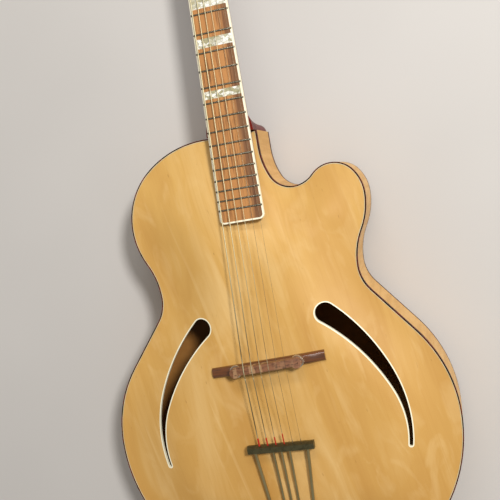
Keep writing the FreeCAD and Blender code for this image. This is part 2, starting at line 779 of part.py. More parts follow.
def head_plan():
    foot = V(NUT_WIDTH / 2, 0, 0)
    shoulder = V(HEAD_SHOULDER_WIDTH / 2, HEAD_SHOULDER_AT, 0)
    top = V(HEAD_TOP_WIDTH / 2, HEAD_TOP_AT, 0)
    right = biarc(foot, V(0, 1, 0), shoulder, unit(top - shoulder))
    right += [Part.LineSegment(shoulder, top).toShape()]
    left = [mirrored(edge) for edge in right]
    crest = Part.Arc(top, V(0, HEAD_LENGTH, 0), V(-top.x, top.y, 0)).toShape()
    base = Part.LineSegment(V(-foot.x, 0, 0), foot).toShape()
    return Part.Wire(Part.sortEdges(right + left + [crest, base])[0])


POSTS = [(side, POST_FIRST + POST_SPACING * place) for side in (1, -1) for place in range(3)]
POST_ORDER = [POSTS[0], POSTS[1], POSTS[2], POSTS[5], POSTS[4], POSTS[3]]
LAST_POST = POST_FIRST + 2 * POST_SPACING
PLATE_SPAN = (POST_FIRST - PLATE_END, LAST_POST + WORM_OFFSET + PLATE_END)
PLATE_SCREW_UP = (
    POST_FIRST - PLATE_END / 2 - POST_DIAMETER / 4,
    LAST_POST + WORM_OFFSET + PLATE_END / 2 + POST_DIAMETER / 4,
)
COVER_SCREWS = (
    (-COVER_SCREW_OUT, COVER_START + SCREW_HEAD_DIAMETER),
    (COVER_SCREW_OUT, COVER_START + SCREW_HEAD_DIAMETER),
    (0, COVER_START + COVER_LENGTH - SCREW_HEAD_DIAMETER),
)


def screw(point, into):
    """A round-headed wood screw whose head sits on point and whose shank runs along into."""
    head = Part.makeCylinder(SCREW_HEAD_DIAMETER / 2, SCREW_HEAD_HEIGHT, point, into * -1)
    shank = Part.makeCylinder(SCREW_SHANK_DIAMETER / 2, SCREW_LENGTH, point, into)
    return head.fuse(shank).removeSplitter()


def head_screws():
    screws = []
    back = HEAD_BACK - PLATE_THICKNESS
    for side in (1, -1):
        for up in PLATE_SCREW_UP:
            screws.append(screw(V(side * POST_OUT, up, back), V(0, 0, 1)))
    for x, up in COVER_SCREWS:
        screws.append(screw(V(x, up, COVER_THICKNESS), V(0, 0, -1)))
    return screws


def rod_room():
    """The truss rod's channel and, past the nut, the pocket for its adjusting nut."""
    low = -BOARD_THICKNESS - ROD_DEPTH
    end = HEAD_ROOT.y
    half = ROD_CHANNEL / 2
    channel = block(-half, half, ROD_START, end, low - half, -BOARD_THICKNESS)
    half = POCKET_WIDTH / 2
    pocket = block(-half, half, end, end + POCKET_LENGTH, low - half, FAR)
    return channel.fuse(pocket)


def post_bores(diameter, z0, z1):
    bores = []
    for side, up in POSTS:
        bores.append(cylinder(diameter, V(side * POST_OUT, up, z0), V(side * POST_OUT, up, z1)))
    return bores


def build_neck():
    end = HEAD_ROOT.y
    sections = [shaft_section(0, NECK_DEPTH_HEEL), shaft_section(end, NECK_DEPTH_NUT)]
    shaft = placed(Part.makeLoft(sections, True, True), NECK)
    heel = Part.makeLoft([heel_section(step) for step in range(HEEL_LEVELS)], True)
    board_space = placed(block(-FAR, FAR, -FAR, 2 * FAR, -BOARD_THICKNESS, FAR), NECK)
    half = TENON_WIDTH / 2
    tenon_low = -SIDE_DEPTH + TENON_FLOOR
    tenon = block(-half, half, -TENON_LENGTH, HEEL_CAP_DEPTH / 2, tenon_low, FAR)
    half = BOARD_END_WIDTH / 2 - EXTENSION_INSET
    tongue = placed(block(-half, half, -EXTENSION_LENGTH, 1, -FAR / 4, -BOARD_THICKNESS), NECK)
    tongue = tongue.cut(arch_slab(EXTENSION_GAP, TOP_ARCH, -FAR))
    grip = shaft.fuse([heel.cut(board_space), tenon.cut(board_space), tongue])
    head = placed(prism(head_plan(), HEAD_BACK, -OVERLAY_THICKNESS), HEAD)
    nut_seat = placed(block(-FAR, FAR, NUT_Y, end, -BOARD_THICKNESS, FAR), NECK)
    head = head.cut(nut_seat)
    wood = grip.fuse(head).removeSplitter()
    bores = post_bores(BUSHING_DIAMETER, FLANGE_HEIGHT - BUSHING_DEPTH, FAR)
    bores += post_bores(POST_DIAMETER + 4 * RUNNING_CLEARANCE, -FAR, FAR)
    bores += head_screws()
    cuts = [placed(bore, HEAD) for bore in bores] + [placed(rod_room(), NECK)]
    add("neck", [wood.cut(cuts)])
    overlay = prism(head_plan(), -OVERLAY_THICKNESS, 0)
    holes = post_bores(BUSHING_DIAMETER, -FAR, FAR) + head_screws()
    overlay = placed(overlay.cut(holes), HEAD)
    add("headstock_overlay", [overlay.cut([placed(rod_room(), NECK), nut_seat])])


def build_truss_rod():
    level = -BOARD_THICKNESS - ROD_DEPTH
    nut_start = HEAD_ROOT.y + ROD_NUT_AT
    nut_end = nut_start + ROD_NUT_LENGTH
    rod = cylinder(ROD_DIAMETER, V(0, ROD_START, level), V(0, nut_end - 1, level))
    corners = [heading(60 * k + 30) * (ROD_NUT_ACROSS / math.sqrt(3)) for k in range(7)]
    points = [V(corner.x, nut_start, level + corner.y) for corner in corners]
    nut = Part.Face(Part.makePolygon(points)).extrude(V(0, ROD_NUT_LENGTH, 0))
    bore = cylinder(ROD_DIAMETER + 2 * RUNNING_CLEARANCE, V(0, nut_start - 1, level),
                    V(0, nut_end + 1, level))
    add("truss_rod", [placed(rod, NECK)])
    add("truss_rod_nut", [placed(nut.cut(bore), NECK)])
    low = COVER_WIDTH / 2
    high = COVER_TIP_WIDTH / 2
    far = COVER_START + COVER_LENGTH
    tip = Part.Arc(V(high, far - high, 0), V(0, far, 0), V(-high, far - high, 0)).toShape()
    sides = [
        Part.LineSegment(V(-low, COVER_START, 0), V(low, COVER_START, 0)).toShape(),
        Part.LineSegment(V(low, COVER_START, 0), V(high, far - high, 0)).toShape(),
        Part.LineSegment(V(-high, far - high, 0), V(-low, COVER_START, 0)).toShape(),
    ]
    cover = prism(Part.Wire(Part.sortEdges(sides + [tip])[0]), 0, COVER_THICKNESS).cut(head_screws())
    add("truss_rod_cover", [placed(cover, HEAD)])
    add("headstock_screws", [placed(item, HEAD) for item in head_screws()])


# Tuning machines, drawn in the head's frame


def gear():
    """A spur gear with its first tooth along +X and its middle plane at z = 0."""
    root = GEAR_PITCH_RADIUS - TOOTH_REACH - TOOTH_CLEARANCE
    tip = GEAR_PITCH_RADIUS + TOOTH_REACH
    points = []
    for tooth in range(GEAR_TEETH):
        for radius, side in ((root, -1), (tip, -1), (tip, 1), (root, 1)):
            half = TOOTH_THICKNESS / 2 - (radius - GEAR_PITCH_RADIUS) * FLANK_SLOPE
            angle = 2 * math.pi * tooth / GEAR_TEETH + side * half / radius
            points.append((radius * math.cos(angle), radius * math.sin(angle)))
    return polygon_prism(points, -GEAR_THICKNESS / 2, GEAR_THICKNESS / 2)


def worm():
    """A worm along z whose round thread crosses +X half a lead either side of the middle."""
    stations = []
    for quarter in range(4 * WORM_TURNS + 1):
        out = heading(90 * quarter)
        point = out * THREAD_ORBIT + V(0, 0, WORM_LEAD * (quarter / 4 - WORM_TURNS / 2))
        along = heading(90 * quarter + 90) + V(0, 0, WORM_LEAD / (2 * math.pi * THREAD_ORBIT))
        stations.append((point, unit(along)))
    thread = tube(Part.Wire(biarcs_through(stations)), 2 * THREAD_RADIUS)
    core = Part.makeCylinder(WORM_CORE_RADIUS, WORM_LENGTH, V(0, 0, -WORM_LENGTH / 2))
    inner_end = -LUG_START - LUG_THICKNESS - WORM_END_PLAY
    outer_end = BUTTON_START + BUTTON_BORE
    shaft = cylinder(WORM_SHAFT_DIAMETER, V(0, 0, inner_end), V(0, 0, outer_end))
    return core.fuse(shaft).removeSplitter().fuse(thread)


def button():
    """A tuning button round the z axis: a rounded tablet that takes the end of the worm's shaft."""
    half_width = BUTTON_WIDTH / 2
    half_depth = BUTTON_THICKNESS / 2
    tablet = block(-half_width, half_width, -half_depth, half_depth, BUTTON_START,
                   BUTTON_START + BUTTON_LENGTH)
    tablet = tablet.makeFillet(BUTTON_ROUND, tablet.Edges)
    bore = cylinder(WORM_SHAFT_DIAMETER, V(0, 0, 0), V(0, 0, BUTTON_START + BUTTON_BORE))
    return tablet.cut(bore)


def worm_place(side, up):
    """Turns a worm's z axis outwards from the head and its +X towards the gear."""
    turn = FreeCAD.Rotation(V(0, -1, 0), V(0, 0, -side), V(side, 0, 0), "ZXY")
    return FreeCAD.Placement(V(side * POST_OUT, up + WORM_OFFSET, WORM_LEVEL), turn)


def string_post(side, up):
    centre = V(side * POST_OUT, up, 0)
    low = WORM_LEVEL - GEAR_THICKNESS / 2 - POST_TAIL
    shaft = cylinder(POST_DIAMETER, centre + V(0, 0, low), centre + V(0, 0, POST_HEIGHT))
    cap_low = centre + V(0, 0, POST_HEIGHT - POST_CAP_HEIGHT)
    cap = cylinder(POST_CAP_DIAMETER, cap_low, cap_low + V(0, 0, POST_CAP_HEIGHT))
    wheel = gear().rotated(V(0, 0, 0), V(0, 0, 1), 90).translated(centre + V(0, 0, WORM_LEVEL))
    hole_at = centre + V(0, 0, POST_HOLE_AT)
    hole = cylinder(POST_HOLE_DIAMETER, hole_at - V(POST_DIAMETER, 0, 0), hole_at + V(POST_DIAMETER, 0, 0))
    return shaft.fuse([cap, wheel]).removeSplitter().cut(hole)


def tuner_plate(side):
    x_in = side * (POST_OUT - PLATE_IN)
    x_out = side * (POST_OUT + PLATE_OUT)
    low = HEAD_BACK - PLATE_THICKNESS
    plate = block(min(x_in, x_out), max(x_in, x_out), PLATE_SPAN[0], PLATE_SPAN[1], low, HEAD_BACK)
    lugs = []
    bores = head_screws()
    for post_side, up in POSTS:
        if post_side != side:
            continue
        place = worm_place(side, up)
        for end in (-1, 1):
            near = end * LUG_START
            far = end * (LUG_START + LUG_THICKNESS)
            reach = WORM_SHAFT_DIAMETER / 2 + LUG_RIM
            depth = low - WORM_LEVEL
            lug = block(-LUG_WIDTH / 2, LUG_WIDTH / 2, -depth, reach, min(near, far), max(near, far))
            if side < 0:
                lug = lug.mirror(V(0, 0, 0), V(0, 1, 0))
            lugs.append(placed(lug, place))
        half = LUG_START + LUG_THICKNESS
        bore = cylinder(WORM_SHAFT_DIAMETER + 2 * RUNNING_CLEARANCE, V(0, 0, -half - 1), V(0, 0, half + 1))
        bores.append(placed(bore, place))
        bores.append(cylinder(POST_DIAMETER + 2 * RUNNING_CLEARANCE, V(side * POST_OUT, up, low - 1),
                              V(side * POST_OUT, up, HEAD_BACK + 1)))
    return plate.fuse(lugs).removeSplitter().cut(bores)


def build_tuners():
    bushings = []
    for side, up in POSTS:
        face = V(side * POST_OUT, up, 0)
        sleeve = cylinder(BUSHING_DIAMETER, face - V(0, 0, BUSHING_DEPTH - FLANGE_HEIGHT),
                          face + V(0, 0, FLANGE_HEIGHT))
        flange = cylinder(FLANGE_DIAMETER, face, face + V(0, 0, FLANGE_HEIGHT))
        bore = cylinder(POST_DIAMETER + 2 * RUNNING_CLEARANCE, face - V(0, 0, FAR), face + V(0, 0, FAR))
        bushings.append(placed(sleeve.fuse(flange).removeSplitter().cut(bore), HEAD))
    add("tuner_bushings", bushings)
    add("tuner_plates", [placed(tuner_plate(side), HEAD) for side in (-1, 1)])
    one_worm = worm()
    one_button = button()
    for number, (side, up) in enumerate(POST_ORDER, 1):
        place = HEAD.multiply(worm_place(side, up))
        add("string_post_%d" % number, [placed(string_post(side, up), HEAD)])
        add("worm_shaft_%d" % number, [placed(one_worm, place)])
        add("tuner_button_%d" % number, [placed(one_button, place)])


# Bridge: a base fitted to the arch, two studs, two thumbwheels and a saddle


def slanted(shape):
    """A shape made square to the centre line, turned to the bridge's slant."""
    return shape.rotated(SADDLE_FOOT, V(0, 0, 1), BRIDGE_SLANT)


def stud_axis(side):
    slant = math.radians(BRIDGE_SLANT)
    return SADDLE_FOOT + V(math.cos(slant), math.sin(slant), 0) * (side * STUD_OUT)


def side_prism(edges, rear, front):
    """A closed profile in (x, z) made solid between two distances from the saddle line."""
    wire = Part.Wire(Part.sortEdges(edges)[0])
    face = Part.Face(wire).translated(V(0, SADDLE.y + rear, 0))
    return face.extrude(V(0, front - rear, 0))


def is_ridge(edge):
    """True for the long edges along the top of the bridge's base."""
    ends = [vertex.Point for vertex in edge.Vertexes]
    return all(point.z > BASE_END_TOP - 1 for point in ends) and abs(ends[0].y - ends[1].y) < 1e-6


def build_bridge():
    tip = BASE_LENGTH / 2
    flat = V(BASE_FLAT_HALF, 0, BASE_TOP)
    end = V(tip, 0, BASE_END_TOP)
    slope = biarc(flat, V(1, 0, 0), end, V(1, 0, 0))
    foot = V(tip, 0, -TOP_ARCH)
    edges = slope + [mirrored(edge) for edge in slope]
    edges += [
        Part.LineSegment(V(-flat.x, 0, BASE_TOP), flat).toShape(),
        Part.LineSegment(end, foot).toShape(),
        Part.LineSegment(foot, V(-tip, 0, foot.z)).toShape(),
        Part.LineSegment(V(-tip, 0, foot.z), V(-tip, 0, BASE_END_TOP)).toShape(),
    ]
    base = side_prism(edges, -BASE_WIDTH / 2, BASE_WIDTH / 2)
    ridges = [edge for edge in base.Edges if is_ridge(edge)]
    base = slanted(base.makeFillet(BASE_ROUND, ridges)).cut(arch_slab(BASE_FIT, TOP_ARCH, -FAR))
    wheel_low = BASE_TOP + WHEEL_LIFT
    wheel_top = wheel_low + WHEEL_THICKNESS
    saddle_low = wheel_top + SADDLE_ON_WHEEL
    studs = []
    wheels = []
    stud_rooms = []
    for side in (-1, 1):
        axis = stud_axis(side)
        studs.append(cylinder(STUD_DIAMETER, axis + V(0, 0, BASE_TOP - STUD_IN_BASE),
                              axis + V(0, 0, STUD_TOP)))
        room = cylinder(STUD_DIAMETER + 2 * RUNNING_CLEARANCE, axis, axis + V(0, 0, STUD_TOP + SADDLE_STUD_ROOM))
        stud_rooms.append(room)
        disc = cylinder(WHEEL_DIAMETER, axis + V(0, 0, wheel_low), axis + V(0, 0, wheel_top))
        wheels.append(disc.cut(room))
    add("bridge_base", [base.cut(studs)])
    add("bridge_posts", studs)
    add("thumbwheel_bass", [wheels[0]])
    add("thumbwheel_treble", [wheels[1]])
    round_end = SADDLE_END_DIAMETER / 2
    half = STUD_OUT + round_end
    top = SADDLE.z + SADDLE_OVER_STRING
    end_top = top + crown(half) - SADDLE_END_DROP
    outline = [
        Part.LineSegment(V(-half, 0, saddle_low), V(half, 0, saddle_low)).toShape(),
        Part.LineSegment(V(half, 0, saddle_low), V(half, 0, end_top)).toShape(),
        Part.Arc(V(half, 0, end_top), V(0, 0, top), V(-half, 0, end_top)).toShape(),
        Part.LineSegment(V(-half, 0, end_top), V(-half, 0, saddle_low)).toShape(),
    ]
    plan = block(-STUD_OUT, STUD_OUT, SADDLE.y - SADDLE_REAR, SADDLE.y + SADDLE_FRONT, 0, FAR)
    ends = [Part.makeCylinder(round_end, FAR, V(side * STUD_OUT, SADDLE.y, 0)) for side in (-1, 1)]
    saddle = side_prism(outline, -round_end, round_end).common(plan.fuse(ends))
    add("bridge_saddle", [slanted(saddle.removeSplitter()).cut(stud_rooms + STRING_ROOMS)])


# Tailpiece: a crossbar on five rods that hang from a hinge on the tail bracket


def build_tailpiece():
    half = BAR_LENGTH / 2
    front = BAR_Y + BAR_WIDTH / 2
    rear = BAR_Y - BAR_WIDTH / 2
    bottom = BAR_TOP - BAR_HEIGHT
    corners = [V(-half, rear, bottom), V(-half, front, bottom), V(-half, front, BAR_TOP - BAR_BEVEL_FALL),
               V(-half, front - BAR_BEVEL_DEPTH, BAR_TOP), V(-half, rear, BAR_TOP), V(-half, rear, bottom)]
    bar = Part.Face(Part.makePolygon(corners)).extrude(V(BAR_LENGTH, 0, 0))
    channel = block(-half + BAR_WALL, half - BAR_WALL, rear + BAR_WALL, front - BAR_WALL, bottom - 1,
                    BAR_TOP - BAR_ROOF)
    bar = bar.cut(channel)
    rods = []
    places = [(side * OUTER_ROD_AT_BAR, side * OUTER_ROD_AT_TAIL, OUTER_ROD_DIAMETER) for side in (-1, 1)]
    places += [(side * INNER_ROD_AT_BAR, side * INNER_ROD_AT_TAIL, INNER_ROD_DIAMETER)
               for side in (-1, 0, 1)]
    for at_bar, at_tail, diameter in places:
        start = V(at_bar, rear + BAR_WALL, BAR_TOP - BAR_HEIGHT / 2)
        rods.append(cylinder(diameter, start, HINGE + V(at_tail, 0, 0)))
    barrel_half = V(BARREL_LENGTH / 2, 0, 0)
    barrel = cylinder(BARREL_DIAMETER, HINGE - barrel_half, HINGE + barrel_half)
    pin_half = V(BARREL_LENGTH / 2 + EAR_GAP + EAR_THICKNESS + PIN_STICKS_OUT, 0, 0)
    pin_room = cylinder(PIN_DIAMETER + 2 * RUNNING_CLEARANCE, HINGE - barrel_half * 2, HINGE + barrel_half * 2)
    add("tailpiece_crossbar", [bar.cut(rods + STRING_ROOMS)])
    add("tailpiece_rods", [barrel.fuse(rods).removeSplitter().cut(pin_room)])
    pin = cylinder(PIN_DIAMETER, HINGE - pin_half, HINGE + pin_half)
    add("hinge_pin", [pin])
    ear_in = BARREL_LENGTH / 2 + EAR_GAP
    ear_out = ear_in + EAR_THICKNESS
    plate = block(-ear_out, ear_out, BRACKET_FACE, TAIL_Y - BRACKET_FIT, -BRACKET_BOTTOM, BRACKET_TOP)
    ears = []
    for side in (-1, 1):
        x_low = min(side * ear_in, side * ear_out)
        web = block(x_low, x_low + EAR_THICKNESS, HINGE.y - EAR_ROUND, BRACKET_FACE + 0.1,
                    -BRACKET_TOP * 3, HINGE.z)
        eye = Part.makeCylinder(EAR_ROUND, EAR_THICKNESS, V(x_low, HINGE.y, HINGE.z), V(1, 0, 0))
        ears += [web, eye]
    bracket = plate.fuse(ears).removeSplitter()
    add("tailpiece_bracket", [bracket.cut([pin] + tail_shanks())])
    screws = []
    for x, z in BRACKET_SCREW_PLACES:
        start = V(x, BRACKET_FACE, z)
        head = Part.makeCylinder(SCREW_HEAD_DIAMETER / 2, SCREW_HEAD_HEIGHT, start, V(0, -1, 0))
        shank = cylinder(SCREW_SHANK_DIAMETER, start, start + V(0, BRACKET_SCREW_LENGTH, 0))
        screws.append(head.fuse(shank).removeSplitter())
    add("bracket_screws", screws)
    at = V(0, BRACKET_FACE, -END_PIN_DOWN)
    shank = cylinder(END_PIN_SHANK, at, at + V(0, END_PIN_IN_BLOCK, 0))
    neck = cylinder(END_PIN_NECK, at - V(0, END_PIN_NECK_LENGTH, 0), at)
    knob_at = at - V(0, END_PIN_NECK_LENGTH, 0)
    knob = cylinder(END_PIN_KNOB, knob_at - V(0, END_PIN_KNOB_LENGTH, 0), knob_at)
    rim = [edge for edge in knob.Edges if edge.Closed]
    knob = knob.makeFillet(END_PIN_KNOB_LENGTH / 3, rim)
    add("end_pin", [shank.fuse([neck, knob]).removeSplitter()])


# Strings: from the ball end through the crossbar, over saddle and nut, and round the post


def string_x(number, spread):
    return spread * (0.5 - (number - 1) / (len(STRING_GAUGES) - 1))


def string_corners(number):
    """The points where a string enters the crossbar and crosses the saddle and the nut."""
    radius = STRING_GAUGES[number - 1] / 2
    x_saddle = string_x(number, SADDLE_SPREAD)
    x_nut = string_x(number, NUT_SPREAD)
    at_bar = V(string_x(number, BAR_SPREAD), BAR_Y + BAR_WIDTH / 2, BAR_TOP - STRING_UNDER_BAR_TOP)
    y_saddle = SADDLE.y + x_saddle * math.tan(math.radians(BRIDGE_SLANT))
    at_saddle = V(x_saddle, y_saddle, SADDLE.z + crown(x_saddle) + radius)
    at_nut = NECK.multVec(V(x_nut, NUT_Y, NUT_STRING_RISE + crown(x_nut) + radius))
    return at_bar, at_saddle, at_nut


def winding(number, at_nut):
    """The stretch from the nut to the post and its turns round it, as points and directions."""
    side, up = POST_ORDER[number - 1]
    radius = STRING_GAUGES[number - 1] / 2
    orbit = POST_DIAMETER / 2 + WINDING_CLEARANCE + radius
    start = HEAD.inverse().multVec(at_nut)
    centre = V(side * POST_OUT, up, 0)
    towards = math.atan2(start.y - centre.y, start.x - centre.x)
    away = math.acos(orbit / math.hypot(start.x - centre.x, start.y - centre.y))
    first = towards - side * away
    fall = 2 * radius + WINDING_GAP
    stations = []
    for quarter in range(int(WINDING_TURNS * 4) + 1):
        angle = first - side * quarter * math.pi / 2
        point = centre + V(orbit * math.cos(angle), orbit * math.sin(angle), 0)
        point.z = WINDING_HEIGHT - fall * quarter / 4
        along = V(side * math.sin(angle), -side * math.cos(angle), -fall / (2 * math.pi * orbit))
        stations.append((HEAD.multVec(point), unit(HEAD.Rotation.multVec(along))))
    return stations


def rounded_corner(before, corner, after, radius):
    """The tangent points and arc that round a corner between two straight runs."""
    into = unit(corner - before)
    out = unit(after - corner)
    turn = math.acos(max(-1, min(1, into.dot(out))))
    reach = radius * math.tan(turn / 2)
    start = corner - into * reach
    end = corner + out * reach
    return start, arc_under(start, corner, end), end


def string_path(number):
    at_bar, at_saddle, at_nut = string_corners(number)
    stations = winding(number, at_nut)
    run = unit(at_saddle - at_bar)
    ball = at_bar - run * ((BAR_WALL + BALL_GAP) / run.y + BALL_DIAMETER / 4)
    on_saddle = rounded_corner(ball, at_saddle, at_nut, STRING_BEND_RADIUS)
    tangent = stations[0][0]
    on_nut = rounded_corner(at_saddle, at_nut, tangent, STRING_BEND_RADIUS)
    leaving = unit(tangent - at_nut)
    ease = tangent - leaving * WINDING_LEAD_IN
    edges = [Part.LineSegment(ball, on_saddle[0]).toShape(), on_saddle[1]]
    edges += [Part.LineSegment(on_saddle[2], on_nut[0]).toShape(), on_nut[1]]
    edges += [Part.LineSegment(on_nut[2], ease).toShape()]
    edges += biarc(ease, leaving, stations[1][0], stations[1][1])
    edges += biarcs_through(stations[1:])
    return ball, run, Part.Wire(edges)


def string_room(number):
    """The groove that a string needs in the crossbar, saddle and nut."""
    at_bar, at_saddle, at_nut = string_corners(number)
    beyond_bar = at_bar - unit(at_saddle - at_bar) * (BAR_WALL + BALL_DIAMETER / 2)
    stations = winding(number, at_nut)
    diameter = STRING_GAUGES[number - 1] + 2 * STRING_FIT
    points = [beyond_bar, at_saddle, at_nut, stations[0][0]]
    runs = [cylinder(diameter, a, b) for a, b in zip(points, points[1:])]
    lift = V(0, 0, diameter)
    slots = [cylinder(diameter, a + lift, b + lift) for a, b in zip(points[1:], points[2:])]
    knees = [Part.makeSphere(diameter / 2, point) for point in points[1:3]]
    return runs + slots + knees


def least_gap(path, number):
    """The smallest gap between a string's own turns, measured on points along its winding."""
    turns = len(winding(number, string_corners(number)[2])) - 2
    points = [point for edge in path.Edges[-2 * turns:] for point in edge.discretize(Number=8)]
    per_turn = 4 * 2 * 8
    gaps = []
    for i, a in enumerate(points):
        for b in points[i + per_turn * 3 // 4:]:
            gaps.append((a - b).Length - STRING_GAUGES[number - 1])
    return min(gaps)


STRING_NUMBERS = range(1, len(STRING_GAUGES) + 1)
STRING_ROOMS = [room for number in STRING_NUMBERS for room in string_room(number)]


def build_strings():
    for number in STRING_NUMBERS:
        ball_at, run, path = string_path(number)
        wire = tube(path, STRING_GAUGES[number - 1])
        behind = ball_at - run * (BALL_DIAMETER / 4)
        across = V(BALL_LENGTH / 2, 0, 0)
        ball = cylinder(BALL_DIAMETER, behind - across, behind + across)
        ball = ball.cut(wire)
        add("string_%d" % number, [wire, ball])
        section = math.pi * STRING_GAUGES[number - 1] ** 2 / 4
        print("string_%d volume over section times length %.4f, least gap %.2f mm"
              % (number, wire.Volume / (section * path.Length), least_gap(path, number)))


def solids_of(shape):
    return shape if isinstance(shape, list) else [shape]


def finish():
    boxes = FreeCAD.BoundBox()
    for shape in PARTS.values():
        for solid in solids_of(shape):
            boxes.add(solid.optimalBoundingBox(False))
    shift = V(-boxes.Center.x, -boxes.Center.y, -boxes.ZMin)
    os.makedirs("parts", exist_ok=True)
    for name, shape in PARTS.items():
        solids = [solid.translated(shift) for solid in solids_of(shape)]
        whole = Part.makeCompound(solids) if len(solids) > 1 else solids[0]
        whole.exportStep("parts/%s.step" % name)
        good = all(solid.isValid() and len(solid.Solids) == 1 for solid in solids)
        print("%-20s solids %2d  volume %10.1f  %s" % (name, len(whole.Solids), whole.Volume, good))
    print("box %.1f x %.1f x %.1f mm, %d nodes" % (boxes.XLength, boxes.YLength, boxes.ZLength, len(PARTS)))
    return shift


build_plates()
build_edges()
build_ribs()
build_inside()
build_fretboard()
build_neck()
build_truss_rod()
build_tuners()
build_bridge()
build_tailpiece()
build_strings()
SHIFT = finish()
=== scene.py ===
import json
import math

import bpy
import numpy as np
from bpy.props import FloatProperty, FloatVectorProperty, IntProperty, PointerProperty
from mathutils import Euler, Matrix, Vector


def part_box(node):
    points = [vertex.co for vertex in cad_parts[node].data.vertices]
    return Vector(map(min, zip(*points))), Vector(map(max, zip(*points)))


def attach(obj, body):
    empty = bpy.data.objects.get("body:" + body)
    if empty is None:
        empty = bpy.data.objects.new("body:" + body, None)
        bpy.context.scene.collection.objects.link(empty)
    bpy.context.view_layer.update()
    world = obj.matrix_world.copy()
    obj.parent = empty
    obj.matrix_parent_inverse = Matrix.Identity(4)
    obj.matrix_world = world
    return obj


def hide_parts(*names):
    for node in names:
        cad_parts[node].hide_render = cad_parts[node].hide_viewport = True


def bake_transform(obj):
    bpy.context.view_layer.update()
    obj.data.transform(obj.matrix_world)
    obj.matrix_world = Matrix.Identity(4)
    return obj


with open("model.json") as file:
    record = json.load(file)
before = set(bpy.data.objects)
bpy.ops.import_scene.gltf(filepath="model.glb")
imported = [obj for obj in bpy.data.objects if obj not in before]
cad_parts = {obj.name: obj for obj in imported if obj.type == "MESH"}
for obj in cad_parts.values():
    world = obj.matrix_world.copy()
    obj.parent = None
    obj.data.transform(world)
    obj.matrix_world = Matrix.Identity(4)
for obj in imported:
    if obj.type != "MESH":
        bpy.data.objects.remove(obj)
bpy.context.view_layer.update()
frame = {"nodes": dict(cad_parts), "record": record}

bl_info = {
    "name": "Archtop guitar",
    "version": (1, 0, 0),
    "blender": (4, 5, 0),
    "location": "3D View > Sidebar > Archtop",
    "description": "Strings, buttons and finishes of a hollow archtop guitar",
    "category": "Object",
}

MM = 0.001
NODES = frame["nodes"]
JOINTS = {joint["name"]: joint for joint in frame["record"]["behaviour"]["joints"]}
STRING_NUMBERS = range(1, 7)


def linear(hex_colour):
    """An sRGB hex colour as linear red, green and blue."""
    parts = np.array([int(hex_colour[i:i + 2], 16) for i in (0, 2, 4)]) / 255
    low = parts / 12.92
    high = ((parts + 0.055) / 1.055) ** 2.4
    return tuple(float(value) for value in np.where(parts <= 0.04045, low, high))


def colour(name, description, hex_colour):
    """A colour setting."""
    return FloatVectorProperty(name=name, description=description, subtype="COLOR", size=3, min=0, max=1,
                               default=linear(hex_colour))


def length(name, description, millimetres):
    """A length setting."""
    return FloatProperty(name=name, description=description, default=millimetres * MM, unit="LENGTH")


def power(name, description, watts):
    """A lamp's power setting."""
    return FloatProperty(name=name, description=description, default=watts, unit="POWER")


class FinishSettings(bpy.types.PropertyGroup):
    """Colours of the woods, plastics and metals."""

    spruce: colour("Spruce", "Lacquered veneer of the top", "D1A45A")
    spruce_pale: colour("Pale spruce", "Pale streaks and clouds in the top", "E4C083")
    # spruce_deep also makes the top darker towards its tail end
    spruce_deep: colour("Deep spruce", "Dark lines and the warmer tail end of the top", "B5803A")
    maple: colour("Maple", "Lacquered maple of the ribs and back", "DAAA60")
    maple_deep: colour("Deep maple", "Dark lines and flame in the ribs and back", "A87636")
    tortoise: colour("Tortoise binding", "Dark mottled plastic round the body", "140502")
    tortoise_amber: colour("Tortoise amber", "Lighter clouds in the dark plastic", "6E1E08")
    ivory: colour("Ivory binding", "Pale plastic of the fretboard edges and sound holes", "F8F0D4")
    purfling: colour("Purfling", "Yellowed plastic line inside the top's edge", "CFC09A")
    neck: colour("Neck", "Red stain on the neck", "6A160A")
    fretboard: colour("Fretboard", "Oiled rosewood of the fretboard", "B88049")
    fretboard_dark: colour("Dark fretboard", "Dark streak along the treble side of the fretboard", "6E4A30")
    bridge: colour("Bridge", "Polished rosewood of the bridge base", "6A3A14")
    bridge_dark: colour("Dark bridge", "Dark figure in the bridge base", "3A1C08")
    saddle: colour("Saddle", "Worn rosewood of the saddle", "86583A")
    saddle_worn: colour("Worn saddle", "Pale wear on the saddle", "B79068")
    silk: colour("Silk", "Silk wrapped round the ball ends of the wound strings", "B42A18")
    button: colour("Button", "Moulded tuning buttons", "E4D3A8")


class StringSettings(bpy.types.PropertyGroup):
    """Sizes of the strings and what is wrapped round them."""

    saddle_spread: length("Saddle spread", "First to sixth string at the saddle", 51.5)
    nut_spread: length("Nut spread", "First to sixth string at the nut", 33.5)
    bar_spread: length("Bar spread", "First to sixth string at the crossbar", 52.0)
    silk_length: length("Silk length", "Silk on the three lowest strings", 10.5)
    long_silk: length("Long silk", "Silk on the third string", 14.0)
    twist_length: length("Twist length", "Lock twist of the plain strings", 5.0)
    sides: IntProperty(name="Sides", description="Faces round a string", default=12, min=6)


class StageSettings(bpy.types.PropertyGroup):
    """Floor and lamps."""

    floor: colour("Floor", "Plain pale floor", "C9C4BE")
    floor_shade: colour("Floor shade", "Faint clouds on the floor", "BDB8B2")
    key_power: power("Key lamp", "Power of the high lamp on the treble side", 57.0)
    box_power: power("Soft box", "Power of the wide lamp over the head", 11.0)
    fill_power: power("Side fill", "Power of the low lamp on the treble side", 3.5)
    sky: FloatProperty(name="Sky", description="Strength of the even light from all round", default=0.3)


# Materials. Pattern sizes are millimetres on the real thing: a texture Mapping divides Object coordinates by
# them.


